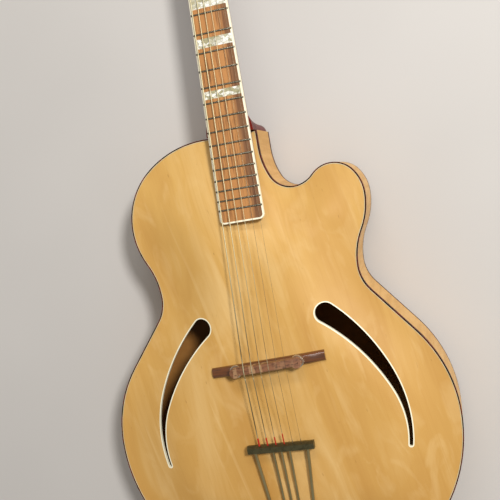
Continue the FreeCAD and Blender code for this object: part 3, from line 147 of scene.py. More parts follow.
def add(tree, kind, inputs=None, output=0, **settings):
    """Adds a shader node, sets its properties, sets or links its inputs by name or number, and gives one of
    its outputs."""
    node = tree.nodes.new("ShaderNode" + kind)
    for key, value in settings.items():
        setattr(node, key, value)
    for key, value in (inputs or {}).items():
        socket = node.inputs[key]
        if isinstance(value, bpy.types.NodeSocket):
            tree.links.new(value, socket)
        elif socket.type == "RGBA":
            socket.default_value = (*value, 1)
        else:
            socket.default_value = value
    return node.outputs[output] if node.outputs else node


def new_material(name):
    """A material with an empty node tree, and that tree."""
    material = bpy.data.materials.new(name)
    material.use_nodes = True
    material.node_tree.nodes.clear()
    return material, material.node_tree


def paint(material, *names):
    """Gives CAD nodes a material."""
    for name in names:
        mesh = NODES[name].data
        mesh.materials.clear()
        mesh.materials.append(material)


def size(*millimetres):
    """Millimetres as metres."""
    return tuple(value * MM for value in millimetres)


def tinted(tree, tone, *layers):
    """Lays tints over a tone, each from where its pattern has the start value, up to its share at the full
    value."""
    for pattern, start, full, share, tint in layers:
        part = add(tree, "MapRange", {"Value": pattern, "From Min": start, "From Max": full, "To Max": share})
        tone = add(tree, "Mix", {0: part, 6: tone, 7: tint}, 2, data_type="RGBA")
    return tone


GRAIN_TURN = (0, 0, math.radians(10))
STREAK_TURN = (0, 0, math.radians(14))


def lacquered_spruce(finish):
    """A spruce veneer top, sanded and sprayed with clear lacquer. Its grain runs ten degrees off the centre
    line. The eye gets fine dark lines about 2 mm apart, drifting warm and pale clouds a hand wide, swirls
    where the veneer was cut flat, a few long pale streaks, rare short flecks and a soft gloss, and the top
    is darker towards the tail end."""
    material, tree = new_material("spruce_veneer_lacquered")
    place = add(tree, "TexCoord", output="Object")
    patterns = []
    for turn, scale, detail, distortion in (
        (GRAIN_TURN, size(2.1, 200, 33), 3.0, 0.3),
        (GRAIN_TURN, size(62, 240, 160), 4.0, 1.1),
        (STREAK_TURN, size(30, 85, 80), 3.0, 1.6),
        (STREAK_TURN, size(15, 520, 100), 2.0, 0.2),
        (GRAIN_TURN, size(3.4, 15, 11), 1.0, 0.0),
    ):
        turned = add(tree, "Mapping", {"Vector": place, "Rotation": turn, "Scale": scale},
                     vector_type="TEXTURE")
        patterns.append(add(tree, "TexNoise", {"Vector": turned, "Scale": 1.0, "Detail": detail,
                                              "Distortion": distortion}))
    lines, clouds, swirls, streaks, flecks = patterns
    along = add(tree, "SeparateXYZ", {"Vector": place}, "Y")
    tone = tinted(tree, finish.spruce,
                  # Darker towards the tail end
                  (along, -20 * MM, -450 * MM, 0.4, finish.spruce_deep),
                  (clouds, 0.5, 0.7, 0.42, finish.spruce_deep),
                  (clouds, 0.5, 0.32, 0.4, finish.spruce_pale),
                  (swirls, 0.52, 0.7, 0.28, finish.spruce_pale),
                  (streaks, 0.65, 0.73, 0.45, finish.spruce_pale),
                  (lines, 0.52, 0.75, 0.2, finish.spruce_deep),
                  (flecks, 0.76, 0.82, 0.5, linear("7A4A1C")))
    rough = add(tree, "MapRange", {"Value": clouds, "From Min": 0.2, "From Max": 0.8,
                                   "To Min": 0.4, "To Max": 0.5})
    bump = add(tree, "Bump", {"Height": lines, "Strength": 0.5, "Distance": 0.01 * MM})
    shader = add(tree, "BsdfPrincipled", {"Base Color": tone, "Roughness": rough, "Normal": bump, "IOR": 1.5,
                                         "Specular IOR Level": 0.3, "Coat Weight": 0.08,
                                         "Coat Roughness": 0.3})
    add(tree, "OutputMaterial", {"Surface": shader})
    return material


def lacquered_maple(name, finish, grain, flame, bare):
    """Maple, bent or carved, scraped and sprayed with clear lacquer that has gone satin. The eye gets fine
    darker pores along the grain, and soft bands of flame across it that shift between two near tones. Faces
    that look up, which are the inside of the back, show a share of bare wood: a dull, even brown, darker
    than bare maple as painted shade inside the closed body."""
    material, tree = new_material(name)
    place = add(tree, "TexCoord", output="Object")
    pore_place = add(tree, "Mapping", {"Vector": place, "Scale": grain}, vector_type="TEXTURE")
    pores = add(tree, "TexNoise", {"Vector": pore_place, "Scale": 1.0, "Detail": 5.0, "Roughness": 0.62,
                                  "Distortion": 0.25})
    band_place = add(tree, "Mapping", {"Vector": place, "Scale": flame}, vector_type="TEXTURE")
    bands = add(tree, "TexNoise", {"Vector": band_place, "Scale": 1.0, "Detail": 2.0, "Distortion": 0.5})
    facing = add(tree, "TexCoord", output="Normal")
    upward = add(tree, "SeparateXYZ", {"Vector": facing}, "Z")
    tone = tinted(tree, finish.maple,
                  (bands, 0.4, 0.66, 0.34, finish.maple_deep),
                  (pores, 0.46, 0.72, 0.34, finish.maple_deep),
                  # The inside of the back: bare wood, painted dark brown as painted shade inside the body
                  (upward, 0.2, 0.4, bare, linear("8A5626")))
    rough = add(tree, "MapRange", {"Value": bands, "From Min": 0.3, "From Max": 0.7,
                                   "To Min": 0.36, "To Max": 0.46})
    bump = add(tree, "Bump", {"Height": pores, "Strength": 0.4, "Distance": 0.02 * MM})
    shader = add(tree, "BsdfPrincipled", {"Base Color": tone, "Roughness": rough, "Normal": bump, "IOR": 1.5,
                                         "Specular IOR Level": 0.2})
    add(tree, "OutputMaterial", {"Surface": shader})
    return material


def raw_spruce():
    """Sawn spruce left bare inside the body: dry, matt, with darker growth lines 2 mm apart."""
    material, tree = new_material("spruce_sawn_raw")
    place = add(tree, "TexCoord", output="Object")
    line_place = add(tree, "Mapping", {"Vector": place, "Scale": size(2, 100, 2)}, vector_type="TEXTURE")
    lines = add(tree, "TexNoise", {"Vector": line_place, "Scale": 1.0, "Detail": 5.0, "Roughness": 0.62})
    tone = tinted(tree, linear("B98E58"), (lines, 0.42, 0.72, 0.5, linear("8A6238")))
    rough = add(tree, "MapRange", {"Value": lines, "From Min": 0.3, "From Max": 0.7,
                                   "To Min": 0.6, "To Max": 0.75})
    bump = add(tree, "Bump", {"Height": lines, "Strength": 0.5, "Distance": 0.05 * MM})
    shader = add(tree, "BsdfPrincipled", {"Base Color": tone, "Roughness": rough, "Normal": bump, "IOR": 1.5})
    add(tree, "OutputMaterial", {"Surface": shader})
    return material


def stained_mahogany(finish):
    """Mahogany stained red and sprayed with lacquer: short dark pores along the neck, a slow drift between a
    bright and a dark red, and a handled, satin shine."""
    material, tree = new_material("mahogany_stained_lacquered")
    place = add(tree, "TexCoord", output="Object")
    pore_place = add(tree, "Mapping", {"Vector": place, "Scale": size(1.4, 14, 3.3)}, vector_type="TEXTURE")
    pores = add(tree, "TexNoise", {"Vector": pore_place, "Scale": 1.0, "Detail": 5.0, "Roughness": 0.62})
    drift_place = add(tree, "Mapping", {"Vector": place, "Scale": size(13, 240, 30)}, vector_type="TEXTURE")
    drift = add(tree, "TexNoise", {"Vector": drift_place, "Scale": 1.0, "Detail": 2.0, "Distortion": 0.4})
    tone = tinted(tree, finish.neck,
                  (drift, 0.4, 0.7, 0.5, linear("3A0E08")),
                  (pores, 0.5, 0.72, 0.6, linear("2C0B07")))
    rough = add(tree, "MapRange", {"Value": pores, "From Min": 0.3, "From Max": 0.7,
                                   "To Min": 0.28, "To Max": 0.4})
    bump = add(tree, "Bump", {"Height": pores, "Strength": 0.3, "Distance": 0.02 * MM})
    shader = add(tree, "BsdfPrincipled", {"Base Color": tone, "Roughness": rough, "Normal": bump, "IOR": 1.5,
                                         "Specular IOR Level": 0.1})
    add(tree, "OutputMaterial", {"Surface": shader})
    return material


def oiled_rosewood(finish):
    """Rosewood planed, fretted and oiled: open dark pores along the neck, a greyer streak down the treble
    side whose edge wanders by a few millimetres, and a low sheen that the pores break up."""
    material, tree = new_material("rosewood_oiled")
    place = add(tree, "TexCoord", output="Object")
    pore_place = add(tree, "Mapping", {"Vector": place, "Scale": size(2.1, 90, 5)}, vector_type="TEXTURE")
    pores = add(tree, "TexNoise", {"Vector": pore_place, "Scale": 1.0, "Detail": 5.0, "Roughness": 0.65})
    drift_place = add(tree, "Mapping", {"Vector": place, "Scale": size(15, 220, 25)}, vector_type="TEXTURE")
    drift = add(tree, "TexNoise", {"Vector": drift_place, "Scale": 1.0, "Detail": 3.0})
    across = add(tree, "SeparateXYZ", {"Vector": place}, "X")
    wander = add(tree, "MapRange", {"Value": drift, "From Min": 0.3, "From Max": 0.7, "To Min": -7 * MM,
                                   "To Max": 7 * MM})
    edge = add(tree, "Math", {0: across, 1: wander}, operation="ADD")
    tone = tinted(tree, finish.fretboard,
                  (edge, 8 * MM, 17 * MM, 0.85, finish.fretboard_dark),
                  (drift, 0.5, 0.75, 0.35, finish.fretboard_dark),
                  (pores, 0.5, 0.68, 0.9, linear("5A341C")))
    rough = add(tree, "MapRange", {"Value": pores, "From Min": 0.3, "From Max": 0.7,
                                   "To Min": 0.46, "To Max": 0.6})
    bump = add(tree, "Bump", {"Height": pores, "Strength": 0.5, "Distance": 0.05 * MM})
    shader = add(tree, "BsdfPrincipled", {"Base Color": tone, "Roughness": rough, "Normal": bump, "IOR": 1.5,
                                         "Specular IOR Level": 0.3})
    add(tree, "OutputMaterial", {"Surface": shader})
    return material


def polished_rosewood(finish):
    """Rosewood shaped, sanded fine and polished: dark figure along the base, fine pores, and a wet gloss that
    draws a lamp out into a long highlight."""
    material, tree = new_material("rosewood_polished")
    place = add(tree, "TexCoord", output="Object")
    figure_place = add(tree, "Mapping", {"Vector": place, "Scale": size(60, 4, 6)}, vector_type="TEXTURE")
    figure = add(tree, "TexNoise", {"Vector": figure_place, "Scale": 1.0, "Detail": 4.0, "Distortion": 0.6})
    pore_place = add(tree, "Mapping", {"Vector": place, "Scale": size(12, 1.2, 2)}, vector_type="TEXTURE")
    pores = add(tree, "TexNoise", {"Vector": pore_place, "Scale": 1.0, "Detail": 4.0, "Roughness": 0.6})
    tone = tinted(tree, finish.bridge,
                  (figure, 0.42, 0.66, 0.7, finish.bridge_dark),
                  (pores, 0.54, 0.72, 0.5, linear("24100A")))
    rough = add(tree, "MapRange", {"Value": figure, "From Min": 0.3, "From Max": 0.7,
                                   "To Min": 0.32, "To Max": 0.42})
    bump = add(tree, "Bump", {"Height": pores, "Strength": 0.3, "Distance": 0.02 * MM})
    shader = add(tree, "BsdfPrincipled", {"Base Color": tone, "Roughness": rough, "Normal": bump, "IOR": 1.5,
                                         "Coat Weight": 0.8, "Coat Roughness": 0.14})
    add(tree, "OutputMaterial", {"Surface": shader})
    return material


def worn_rosewood(finish):
    """Rosewood handled for years: pores along the saddle, pale blocks between the strings where the hand and
    the strings have rubbed, and dark grime on the treble half."""
    material, tree = new_material("rosewood_worn")
    place = add(tree, "TexCoord", output="Object")
    pore_place = add(tree, "Mapping", {"Vector": place, "Scale": size(20, 1.9, 3.3)}, vector_type="TEXTURE")
    pores = add(tree, "TexNoise", {"Vector": pore_place, "Scale": 1.0, "Detail": 5.0, "Roughness": 0.62})
    block_place = add(tree, "Mapping", {"Vector": place, "Scale": size(5.5, 30, 30)}, vector_type="TEXTURE")
    blocks = add(tree, "TexNoise", {"Vector": block_place, "Scale": 1.0, "Detail": 2.0, "Roughness": 0.4})
    grime_place = add(tree, "Mapping", {"Vector": place, "Scale": size(6, 3, 5)}, vector_type="TEXTURE")
    grime = add(tree, "TexNoise", {"Vector": grime_place, "Scale": 1.0, "Detail": 4.0, "Roughness": 0.7})
    across = add(tree, "SeparateXYZ", {"Vector": place}, "X")
    treble = add(tree, "MapRange", {"Value": across, "From Min": -4 * MM, "From Max": 12 * MM, "To Min": 1.0,
                                   "To Max": 0.35})
    tone = tinted(tree, finish.saddle, (pores, 0.44, 0.72, 0.7, linear("452515")))
    block = add(tree, "MapRange", {"Value": blocks, "From Min": 0.5, "From Max": 0.54, "To Max": 0.6})
    rubbed = add(tree, "Math", {0: block, 1: treble}, operation="MULTIPLY")
    tone = add(tree, "Mix", {0: rubbed, 6: tone, 7: finish.saddle_worn}, 2, data_type="RGBA")
    tone = tinted(tree, tone, (grime, 0.52, 0.66, 0.7, linear("3A2012")))
    rough = add(tree, "MapRange", {"Value": rubbed, "To Min": 0.5, "To Max": 0.34})
    bump = add(tree, "Bump", {"Height": grime, "Strength": 0.5, "Distance": 0.1 * MM})
    shader = add(tree, "BsdfPrincipled", {"Base Color": tone, "Roughness": rough, "Normal": bump, "IOR": 1.5})
    add(tree, "OutputMaterial", {"Surface": shader})
    return material


def clouded_plastic(name, base, second, cloud, share, shine):
    """Celluloid, bone or moulded plastic, scraped flush and buffed: soft clouds of a second tone, faint
    ripples left by the scraper, and a smooth gloss."""
    material, tree = new_material(name)
    place = add(tree, "TexCoord", output="Object")
    cloud_place = add(tree, "Mapping", {"Vector": place, "Scale": cloud}, vector_type="TEXTURE")
    clouds = add(tree, "TexNoise", {"Vector": cloud_place, "Scale": 1.0, "Detail": 3.0, "Distortion": 1.2})
    tone = tinted(tree, base, (clouds, 0.4, 0.65, share, second))
    rough = add(tree, "MapRange", {"Value": clouds, "From Min": 0.3, "From Max": 0.7,
                                   "To Min": 0.27, "To Max": 0.37})
    bump = add(tree, "Bump", {"Height": clouds, "Strength": 0.3, "Distance": 0.02 * MM})
    shader = add(tree, "BsdfPrincipled", {"Base Color": tone, "Roughness": rough, "Normal": bump, "IOR": 1.5,
                                         "Specular IOR Level": shine})
    add(tree, "OutputMaterial", {"Surface": shader})
    return material


def cast_pearl():
    """Celluloid pearl cast in blocks and sanded flush: crumpled flakes 4 mm wide, each in another tone from
    silver white to olive grey, with fine creases between them under a clear gloss. The flakes are the
    pearl's own pattern; their silver white is a painted glint."""
    material, tree = new_material("pearl_cast_polished")
    place = add(tree, "TexCoord", output="Object")
    crumple_place = add(tree, "Mapping", {"Vector": place, "Scale": size(4, 4, 4)}, vector_type="TEXTURE")
    crumple = add(tree, "TexNoise", {"Vector": crumple_place, "Scale": 1.0, "Detail": 3.0, "Distortion": 2.0})
    flake_place = add(tree, "Mapping", {"Vector": place, "Scale": size(2.6, 1.7, 2.6)}, vector_type="TEXTURE")
    bent = add(tree, "Mix", {0: 0.45, 4: flake_place, 5: crumple}, 1, data_type="VECTOR")
    flakes = add(tree, "TexVoronoi", {"Vector": bent, "Scale": 1.0}, "Color")
    shine = add(tree, "SeparateXYZ", {"Vector": flakes}, "X")
    creases = add(tree, "TexVoronoi", {"Vector": bent, "Scale": 1.0}, "Distance", feature="DISTANCE_TO_EDGE")
    # The flakes' silver white is a painted glint that stays the same from any side
    tone = tinted(tree, linear("A39C78"),
                  (shine, 0.25, 0.7, 1.0, linear("F8F5EA")),
                  (crumple, 0.45, 0.7, 0.4, linear("D2C9A4")),
                  (creases, 0.1, 0.0, 0.6, linear("7E7960")))
    rough = add(tree, "MapRange", {"Value": shine, "To Min": 0.3, "To Max": 0.18})
    bump = add(tree, "Bump", {"Height": shine, "Strength": 0.2, "Distance": 0.05 * MM})
    shader = add(tree, "BsdfPrincipled", {"Base Color": tone, "Roughness": rough, "Normal": bump, "IOR": 1.5,
                                         "Coat Weight": 0.2, "Coat Roughness": 0.1})
    add(tree, "OutputMaterial", {"Surface": shader})
    return material


def polished_ebony(name, grain):
    """Ebony sanded and waxed: almost black, with faint brown lines along the grain and a tight sheen."""
    material, tree = new_material(name)
    place = add(tree, "TexCoord", output="Object")
    line_place = add(tree, "Mapping", {"Vector": place, "Scale": grain}, vector_type="TEXTURE")
    lines = add(tree, "TexNoise", {"Vector": line_place, "Scale": 1.0, "Detail": 4.0, "Roughness": 0.6})
    tone = tinted(tree, linear("1A1512"), (lines, 0.5, 0.72, 0.8, linear("33271F")))
    rough = add(tree, "MapRange", {"Value": lines, "From Min": 0.3, "From Max": 0.7,
                                   "To Min": 0.2, "To Max": 0.32})
    bump = add(tree, "Bump", {"Height": lines, "Strength": 0.3, "Distance": 0.02 * MM})
    shader = add(tree, "BsdfPrincipled", {"Base Color": tone, "Roughness": rough, "Normal": bump, "IOR": 1.5})
    add(tree, "OutputMaterial", {"Surface": shader})
    return material


def aged_metal(name, bright, dull, mark, share, rough):
    """Plated, drawn or turned metal that has been handled: clouds of a duller tone where the surface has
    tarnished, rougher there, and bright where fingers keep it clean."""
    material, tree = new_material(name)
    place = add(tree, "TexCoord", output="Object")
    mark_place = add(tree, "Mapping", {"Vector": place, "Scale": mark}, vector_type="TEXTURE")
    marks = add(tree, "TexNoise", {"Vector": mark_place, "Scale": 1.0, "Detail": 6.0, "Roughness": 0.65})
    tone = tinted(tree, bright, (marks, 0.42, 0.66, share, dull))
    worn = add(tree, "MapRange", {"Value": marks, "From Min": 0.35, "From Max": 0.7, "To Min": rough,
                                 "To Max": rough + 0.16})
    bump = add(tree, "Bump", {"Height": marks, "Strength": 0.3, "Distance": 0.02 * MM})
    shader = add(tree, "BsdfPrincipled", {"Base Color": tone, "Roughness": worn, "Normal": bump,
                                         "Metallic": 1.0})
    add(tree, "OutputMaterial", {"Surface": shader})
    return material


# Distances along a string from its tail end, where its painted highlight and painted shade change
PAINTED_HIGHLIGHT_FROM = 170 * MM
PAINTED_SHADE_FULL_AT = 30 * MM
SADDLE_HIGHLIGHT_UNTIL = 14 * MM


def wound_wire(name, base, dark, dull, pitch, metallic, rough):
    """Wire or thread wound round a core: a dark line of painted shade in the groove between each two turns.
    The turns are drawn at the given pitch along the piece, coarser than the real ones, so that they show.
    The wire has a painted highlight over the frets and close to each piece's tail end, where the front
    run crosses the saddle, and fades to a dull tone of painted shade in between and behind."""
    material, tree = new_material(name)
    along = add(tree, "Attribute", output="Fac", attribute_name="along")
    turned = add(tree, "Math", {0: along, 1: 2 * math.pi / pitch}, operation="MULTIPLY")
    ripple = add(tree, "Math", {0: turned}, operation="COSINE")
    # Painted shade along the wire: dull between the saddle and the frets, fading to bright over the frets as
    # a painted highlight
    painted_shade = add(tree, "MapRange", {"Value": along, "From Min": PAINTED_HIGHLIGHT_FROM, "From Max": PAINTED_SHADE_FULL_AT})
    # Painted highlight close to each piece's tail end, where the front run crosses the saddle
    rubbed = add(tree, "MapRange", {"Value": along, "From Min": SADDLE_HIGHLIGHT_UNTIL, "From Max": PAINTED_SHADE_FULL_AT})
    painted_shade = add(tree, "Math", {0: painted_shade, 1: rubbed}, operation="MULTIPLY")
    tone = add(tree, "Mix", {0: painted_shade, 6: base, 7: dull}, 2, data_type="RGBA")
    # Painted shade: a dark line in the groove between each two turns
    tone = tinted(tree, tone, (ripple, 0.2, 1.0, 0.5, dark))
    grit = add(tree, "MapRange", {"Value": ripple, "From Min": -1.0, "From Max": 1.0, "To Min": rough,
                                 "To Max": rough + 0.15})
    ridge = add(tree, "Math", {0: ripple, 1: -1.0}, operation="MULTIPLY")
    bump = add(tree, "Bump", {"Height": ridge, "Strength": 0.4, "Distance": 0.01 * MM})
    shader = add(tree, "BsdfPrincipled", {"Base Color": tone, "Roughness": grit, "Normal": bump,
                                         "Metallic": metallic, "Specular IOR Level": 0.2})
    add(tree, "OutputMaterial", {"Surface": shader})
    return material


def painted_floor(settings):
    """Smooth board rolled with matt paint: one pale tone with a faint, wide cloudiness."""
    material, tree = new_material("floor_painted_matt")
    place = add(tree, "TexCoord", output="Object")
    cloud_place = add(tree, "Mapping", {"Vector": place, "Scale": size(330, 330, 330)}, vector_type="TEXTURE")
    clouds = add(tree, "TexNoise", {"Vector": cloud_place, "Scale": 1.0})
    tone = add(tree, "Mix", {0: clouds, 6: settings.floor, 7: settings.floor_shade}, 2, data_type="RGBA")
    shader = add(tree, "BsdfPrincipled", {"Base Color": tone, "Roughness": 0.85})
    add(tree, "OutputMaterial", {"Surface": shader})
    return material


# Shapes


def grid_faces(rings, sides, closed=False):
    """Quads round each ring of vertices and on to the next ring. Closed, the last ring joins the first."""
    ring, corner = np.meshgrid(np.arange(rings if closed else rings - 1), np.arange(sides), indexing="ij")
    ahead = (ring + 1) % rings
    beside = (corner + 1) % sides
    return np.stack([ring * sides + corner, ahead * sides + corner, ahead * sides + beside,
                     ring * sides + beside], axis=-1).reshape(-1, 4)


def carried_circle(path, radius, across, sides):
    """A circle carried along a path: point = path(s) + radius(s, a) (cos a side(s) + sin a up(s)), where
    side is the path's direction crossed with a fixed direction and up completes the frame. Returns the
    vertices, the faces with closed ends, and the distance along the path at each vertex."""
    ahead = np.gradient(path, axis=0)
    ahead /= np.linalg.norm(ahead, axis=1, keepdims=True)
    side = np.cross(ahead, across)
    side /= np.linalg.norm(side, axis=1, keepdims=True)
    up = np.cross(side, ahead)
    angle = np.linspace(0, 2 * np.pi, sides, endpoint=False)
    ring = np.cos(angle)[None, :, None] * side[:, None, :] + np.sin(angle)[None, :, None] * up[:, None, :]
    thick = np.broadcast_to(radius, (len(path), sides))
    points = (path[:, None, :] + thick[:, :, None] * ring).reshape(-1, 3)
    steps = np.concatenate([[0], np.cumsum(np.linalg.norm(np.diff(path, axis=0), axis=1))])
    along = np.repeat(steps, sides)
    first = np.arange(sides)
    last = (len(path) - 1) * sides + first[::-1]
    faces = grid_faces(len(path), sides).tolist() + [first.tolist(), last.tolist()]
    return points, faces, along


def new_piece(name, points, faces, material, along=None, smooth=True):
    """An object at the origin from whole arrays, with the distance along it if given. Faces of more than four
    corners are flat end caps."""
    mesh = bpy.data.meshes.new(name)
    mesh.from_pydata(points.tolist(), [], faces)
    corners = np.zeros(len(mesh.polygons), dtype=np.int32)
    mesh.polygons.foreach_get("loop_total", corners)
    mesh.polygons.foreach_set("use_smooth", (corners == 4) & smooth)
    if along is not None:
        mesh.attributes.new("along", "FLOAT", "POINT").data.foreach_set("value", along.astype(np.float32))
    mesh.materials.append(material)
    mesh.update()
    piece = bpy.data.objects.new(name, mesh)
    bpy.context.scene.collection.objects.link(piece)
    return piece


GAUGES = np.array([0.30, 0.41, 0.61, 0.81, 1.07, 1.32]) * MM
CROWN_RADIUS = 350 * MM
NUT_STRING_RISE = 1.8 * MM
STRING_UNDER_BAR_TOP = 3.0 * MM
STRING_IN_BAR = 3.2 * MM
FRONT_TAIL = 8.2 * MM
REAR_STOP = 7.5 * MM
BALL_RADIUS = 1.6 * MM
BALL_BEHIND = 2.5 * MM
ROD_BELOW_CROWN = 14.0 * MM
NUT_BEHIND_ROD_NUT = 14.0 * MM
POST_RADIUS = 3.0 * MM
WINDING_CLEARANCE = 0.35 * MM
WINDING_HEIGHT = 9.0 * MM
WINDING_GAP = 0.5 * MM
WINDING_TURNS = 2.5
TURN_STEPS = 28
FRONT_STEPS = 40
HEAD_STEPS = 12
BEHIND_STEPS = 24
FIRST_WOUND = 3
WIRE_PITCH = 0.8 * MM
X_AXIS = np.array([1.0, 0, 0])
Z_AXIS = np.array([0, 0, 1.0])


def crown(x):
    """Height of the fretboard's round top at x, counted from its middle, so never above zero."""
    return math.sqrt(CROWN_RADIUS ** 2 - x * x) - CROWN_RADIUS


def place_across(number, spread):
    """Where a string lies across the guitar."""
    return spread * (0.5 - (number - 1) / (len(STRING_NUMBERS) - 1))


def string_corners(number, sizes):
    """Where a string enters the crossbar's front and crosses the saddle and the nut."""
    radius = GAUGES[number - 1] / 2
    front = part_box("tailpiece_crossbar")[1]
    bar = np.array([place_across(number, sizes.bar_spread), front[1], front[2] - STRING_UNDER_BAR_TOP])
    bass, treble = (JOINTS["thumbwheel_%s_turn" % side]["pos_m"] for side in ("bass", "treble"))
    x = place_across(number, sizes.saddle_spread)
    y = bass[1] + (treble[1] - bass[1]) * (x - bass[0]) / (treble[0] - bass[0])
    saddle = np.array([x, y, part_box("string_%d" % number)[1][2] - radius])
    turn = JOINTS["truss_nut_turn"]
    ahead = np.array(turn["axis"])
    out = np.cross(X_AXIS, ahead)
    x = place_across(number, sizes.nut_spread)
    rise = ROD_BELOW_CROWN + NUT_STRING_RISE + crown(x) + radius
    nut = np.array(turn["pos_m"]) - ahead * NUT_BEHIND_ROD_NUT + out * rise + X_AXIS * x
    return bar, saddle, nut


def winding(number, nut):
    """The turns round the post: p(a) = centre + orbit (cos a X + sin a U) + height(a) W, a helix that starts
    where the line from the nut touches its circle and falls by one pitch a turn."""
    joint = JOINTS["post_spin_%d" % number]
    centre = np.array(joint["pos_m"])
    axis = np.array(joint["axis"])
    upward = np.cross(axis, X_AXIS)
    side = math.copysign(1, centre[0])
    radius = GAUGES[number - 1] / 2
    orbit = POST_RADIUS + WINDING_CLEARANCE + radius
    offset = nut - centre
    flat = np.array([offset @ X_AXIS, offset @ upward])
    first = math.atan2(flat[1], flat[0]) - side * math.acos(orbit / np.linalg.norm(flat))
    turned = np.linspace(0, 2 * np.pi * WINDING_TURNS, int(WINDING_TURNS * TURN_STEPS) + 1)
    angle = first - side * turned
    height = WINDING_HEIGHT - (2 * radius + WINDING_GAP) * turned / (2 * np.pi)
    return (centre + orbit * np.cos(angle)[:, None] * X_AXIS + orbit * np.sin(angle)[:, None] * upward
            + height[:, None] * axis)


def straight(start, end, count):
    """Even points from start to end."""
    return start + (end - start) * np.linspace(0, 1, count)[:, None]


def direction(start, end):
    """The unit vector from start towards end."""
    return (end - start) / np.linalg.norm(end - start)


class GUITAR_OT_strings(bpy.types.Operator):
    """Six strings: a straight run from the saddle to the nut that bends with the saddle, on to the turns
    round the post, and a straight run from the crossbar that swings with the tailpiece and slides inside
    the front run's tail just behind the saddle"""

    bl_idname = "guitar.strings"
    bl_label = "Strings"

    def execute(self, context):
        sizes = context.scene.guitar_strings
        # The wound wire's last colour, the dull one, is painted shade along the wire
        wound = wound_wire("nickel_wire_wound", linear("DCD0A8"), linear("8A7E60"), linear("6E6248"),
                           # The dark 8A7E60 above is painted shade in the grooves between the turns
                           WIRE_PITCH, 1.0, 0.5)
        plain = aged_metal("steel_wire_drawn", linear("8A7E66"), linear("5E543F"), size(2.5, 25, 2.5),
                           0.5, 0.36)
        for number in STRING_NUMBERS:
            radius = GAUGES[number - 1] / 2
            bar, saddle, nut = string_corners(number, sizes)
            turns = winding(number, nut)
            material = wound if number >= FIRST_WOUND else plain
            across = np.array(JOINTS["post_spin_%d" % number]["axis"])
            run = direction(bar, saddle)
            front = np.concatenate([[saddle - run * FRONT_TAIL], straight(saddle, nut, FRONT_STEPS)[:-1],
                                    straight(nut, turns[0], HEAD_STEPS)[:-1], turns])
            points, faces, along = carried_circle(front, radius, across, sizes.sides)
            piece = new_piece("string_front_%d" % number, points, faces, material, along)
            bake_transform(piece)
            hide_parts("string_%d" % number)
            behind = straight(bar - run * STRING_IN_BAR, saddle - run * REAR_STOP, BEHIND_STEPS)
            points, faces, along = carried_circle(behind, radius, across, sizes.sides)
            piece = new_piece("string_behind_%d" % number, points, faces, material, along)
            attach(piece, "tailpiece")
            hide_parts("string_%d" % number)
        return {"FINISHED"}


SILK_PITCH = 0.9 * MM
# Thickness, ridge height and pitch of what is wrapped round a string
SILK_WRAP = (*size(0.42, 0.06), SILK_PITCH)
TWIST_WRAP = size(0.2, 0.12, 1.3)
WRAP_IN_BAR = 0.5 * MM
WRAP_FADE = 1.2 * MM
WRAP_STEPS = 80
WRAP_SIDES = 16


class GUITAR_OT_silk(bpy.types.Operator):
    """Red silk round the wound strings and a lock twist round the plain ones, in front of the crossbar"""

    bl_idname = "guitar.silk"
    bl_label = "Silk and twists"

    def execute(self, context):
        """A ridged sleeve: radius(s, a) = core + fade(s) (thick + ridge cos(2 pi s / pitch - a)), whose ridge
        is a helix and whose front end fades into the string."""
        sizes = context.scene.guitar_strings
        finish = context.scene.guitar_finish
        # The darker red is painted shade in the grooves between the turns of silk
        silk = wound_wire("silk_thread_wound", finish.silk, linear("6A1810"), finish.silk, SILK_PITCH,
                          0.0, 0.6)
        twist = aged_metal("steel_wire_twisted", linear("625A4C"), linear("2E281E"), size(1.7, 1.7, 1.7),
                           0.6, 0.35)
        lengths = [sizes.twist_length] * 2 + [sizes.long_silk] + [sizes.silk_length] * 3
        for number in STRING_NUMBERS:
            bar, saddle, _ = string_corners(number, sizes)
            run = direction(bar, saddle)
            start = bar - run * WRAP_IN_BAR
            wound = number >= FIRST_WOUND
            thick, ridge, pitch = SILK_WRAP if wound else TWIST_WRAP
            reach = lengths[number - 1]
            path = straight(start, start + run * reach, WRAP_STEPS)
            s = np.linspace(0, reach, WRAP_STEPS)[:, None]
            a = np.linspace(0, 2 * np.pi, WRAP_SIDES, endpoint=False)[None, :]
            fade = np.clip((reach - s) / WRAP_FADE, 0, 1)
            radius = GAUGES[number - 1] / 2 + fade * (thick + ridge * np.cos(2 * np.pi * s / pitch - a))
            points, faces, along = carried_circle(path, radius, Z_AXIS, WRAP_SIDES)
            name = "string_silk_%d" if wound else "string_twist_%d"
            piece = new_piece(name % number, points, faces, silk if wound else twist, along)
            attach(piece, "tailpiece")
        return {"FINISHED"}


BUTTON_START = 18.05 * MM
BUTTON_LENGTH = 15.9 * MM
BUTTON_HALF_WIDTH = 6.95 * MM
BUTTON_HALF_THICKNESS = 3.45 * MM
BUTTON_LEAST = 0.02 * MM
# Shares of the full width, thickness and length at the button's neck
NECK_WIDTH = 0.6
NECK_THICKNESS = 0.85
NECK_LENGTH = 0.55
SECTION_POWER = 0.7
RIM_POWER = 5
RIM_ROOT = 0.4
BUTTON_RINGS = 40
BUTTON_SIDES = 48


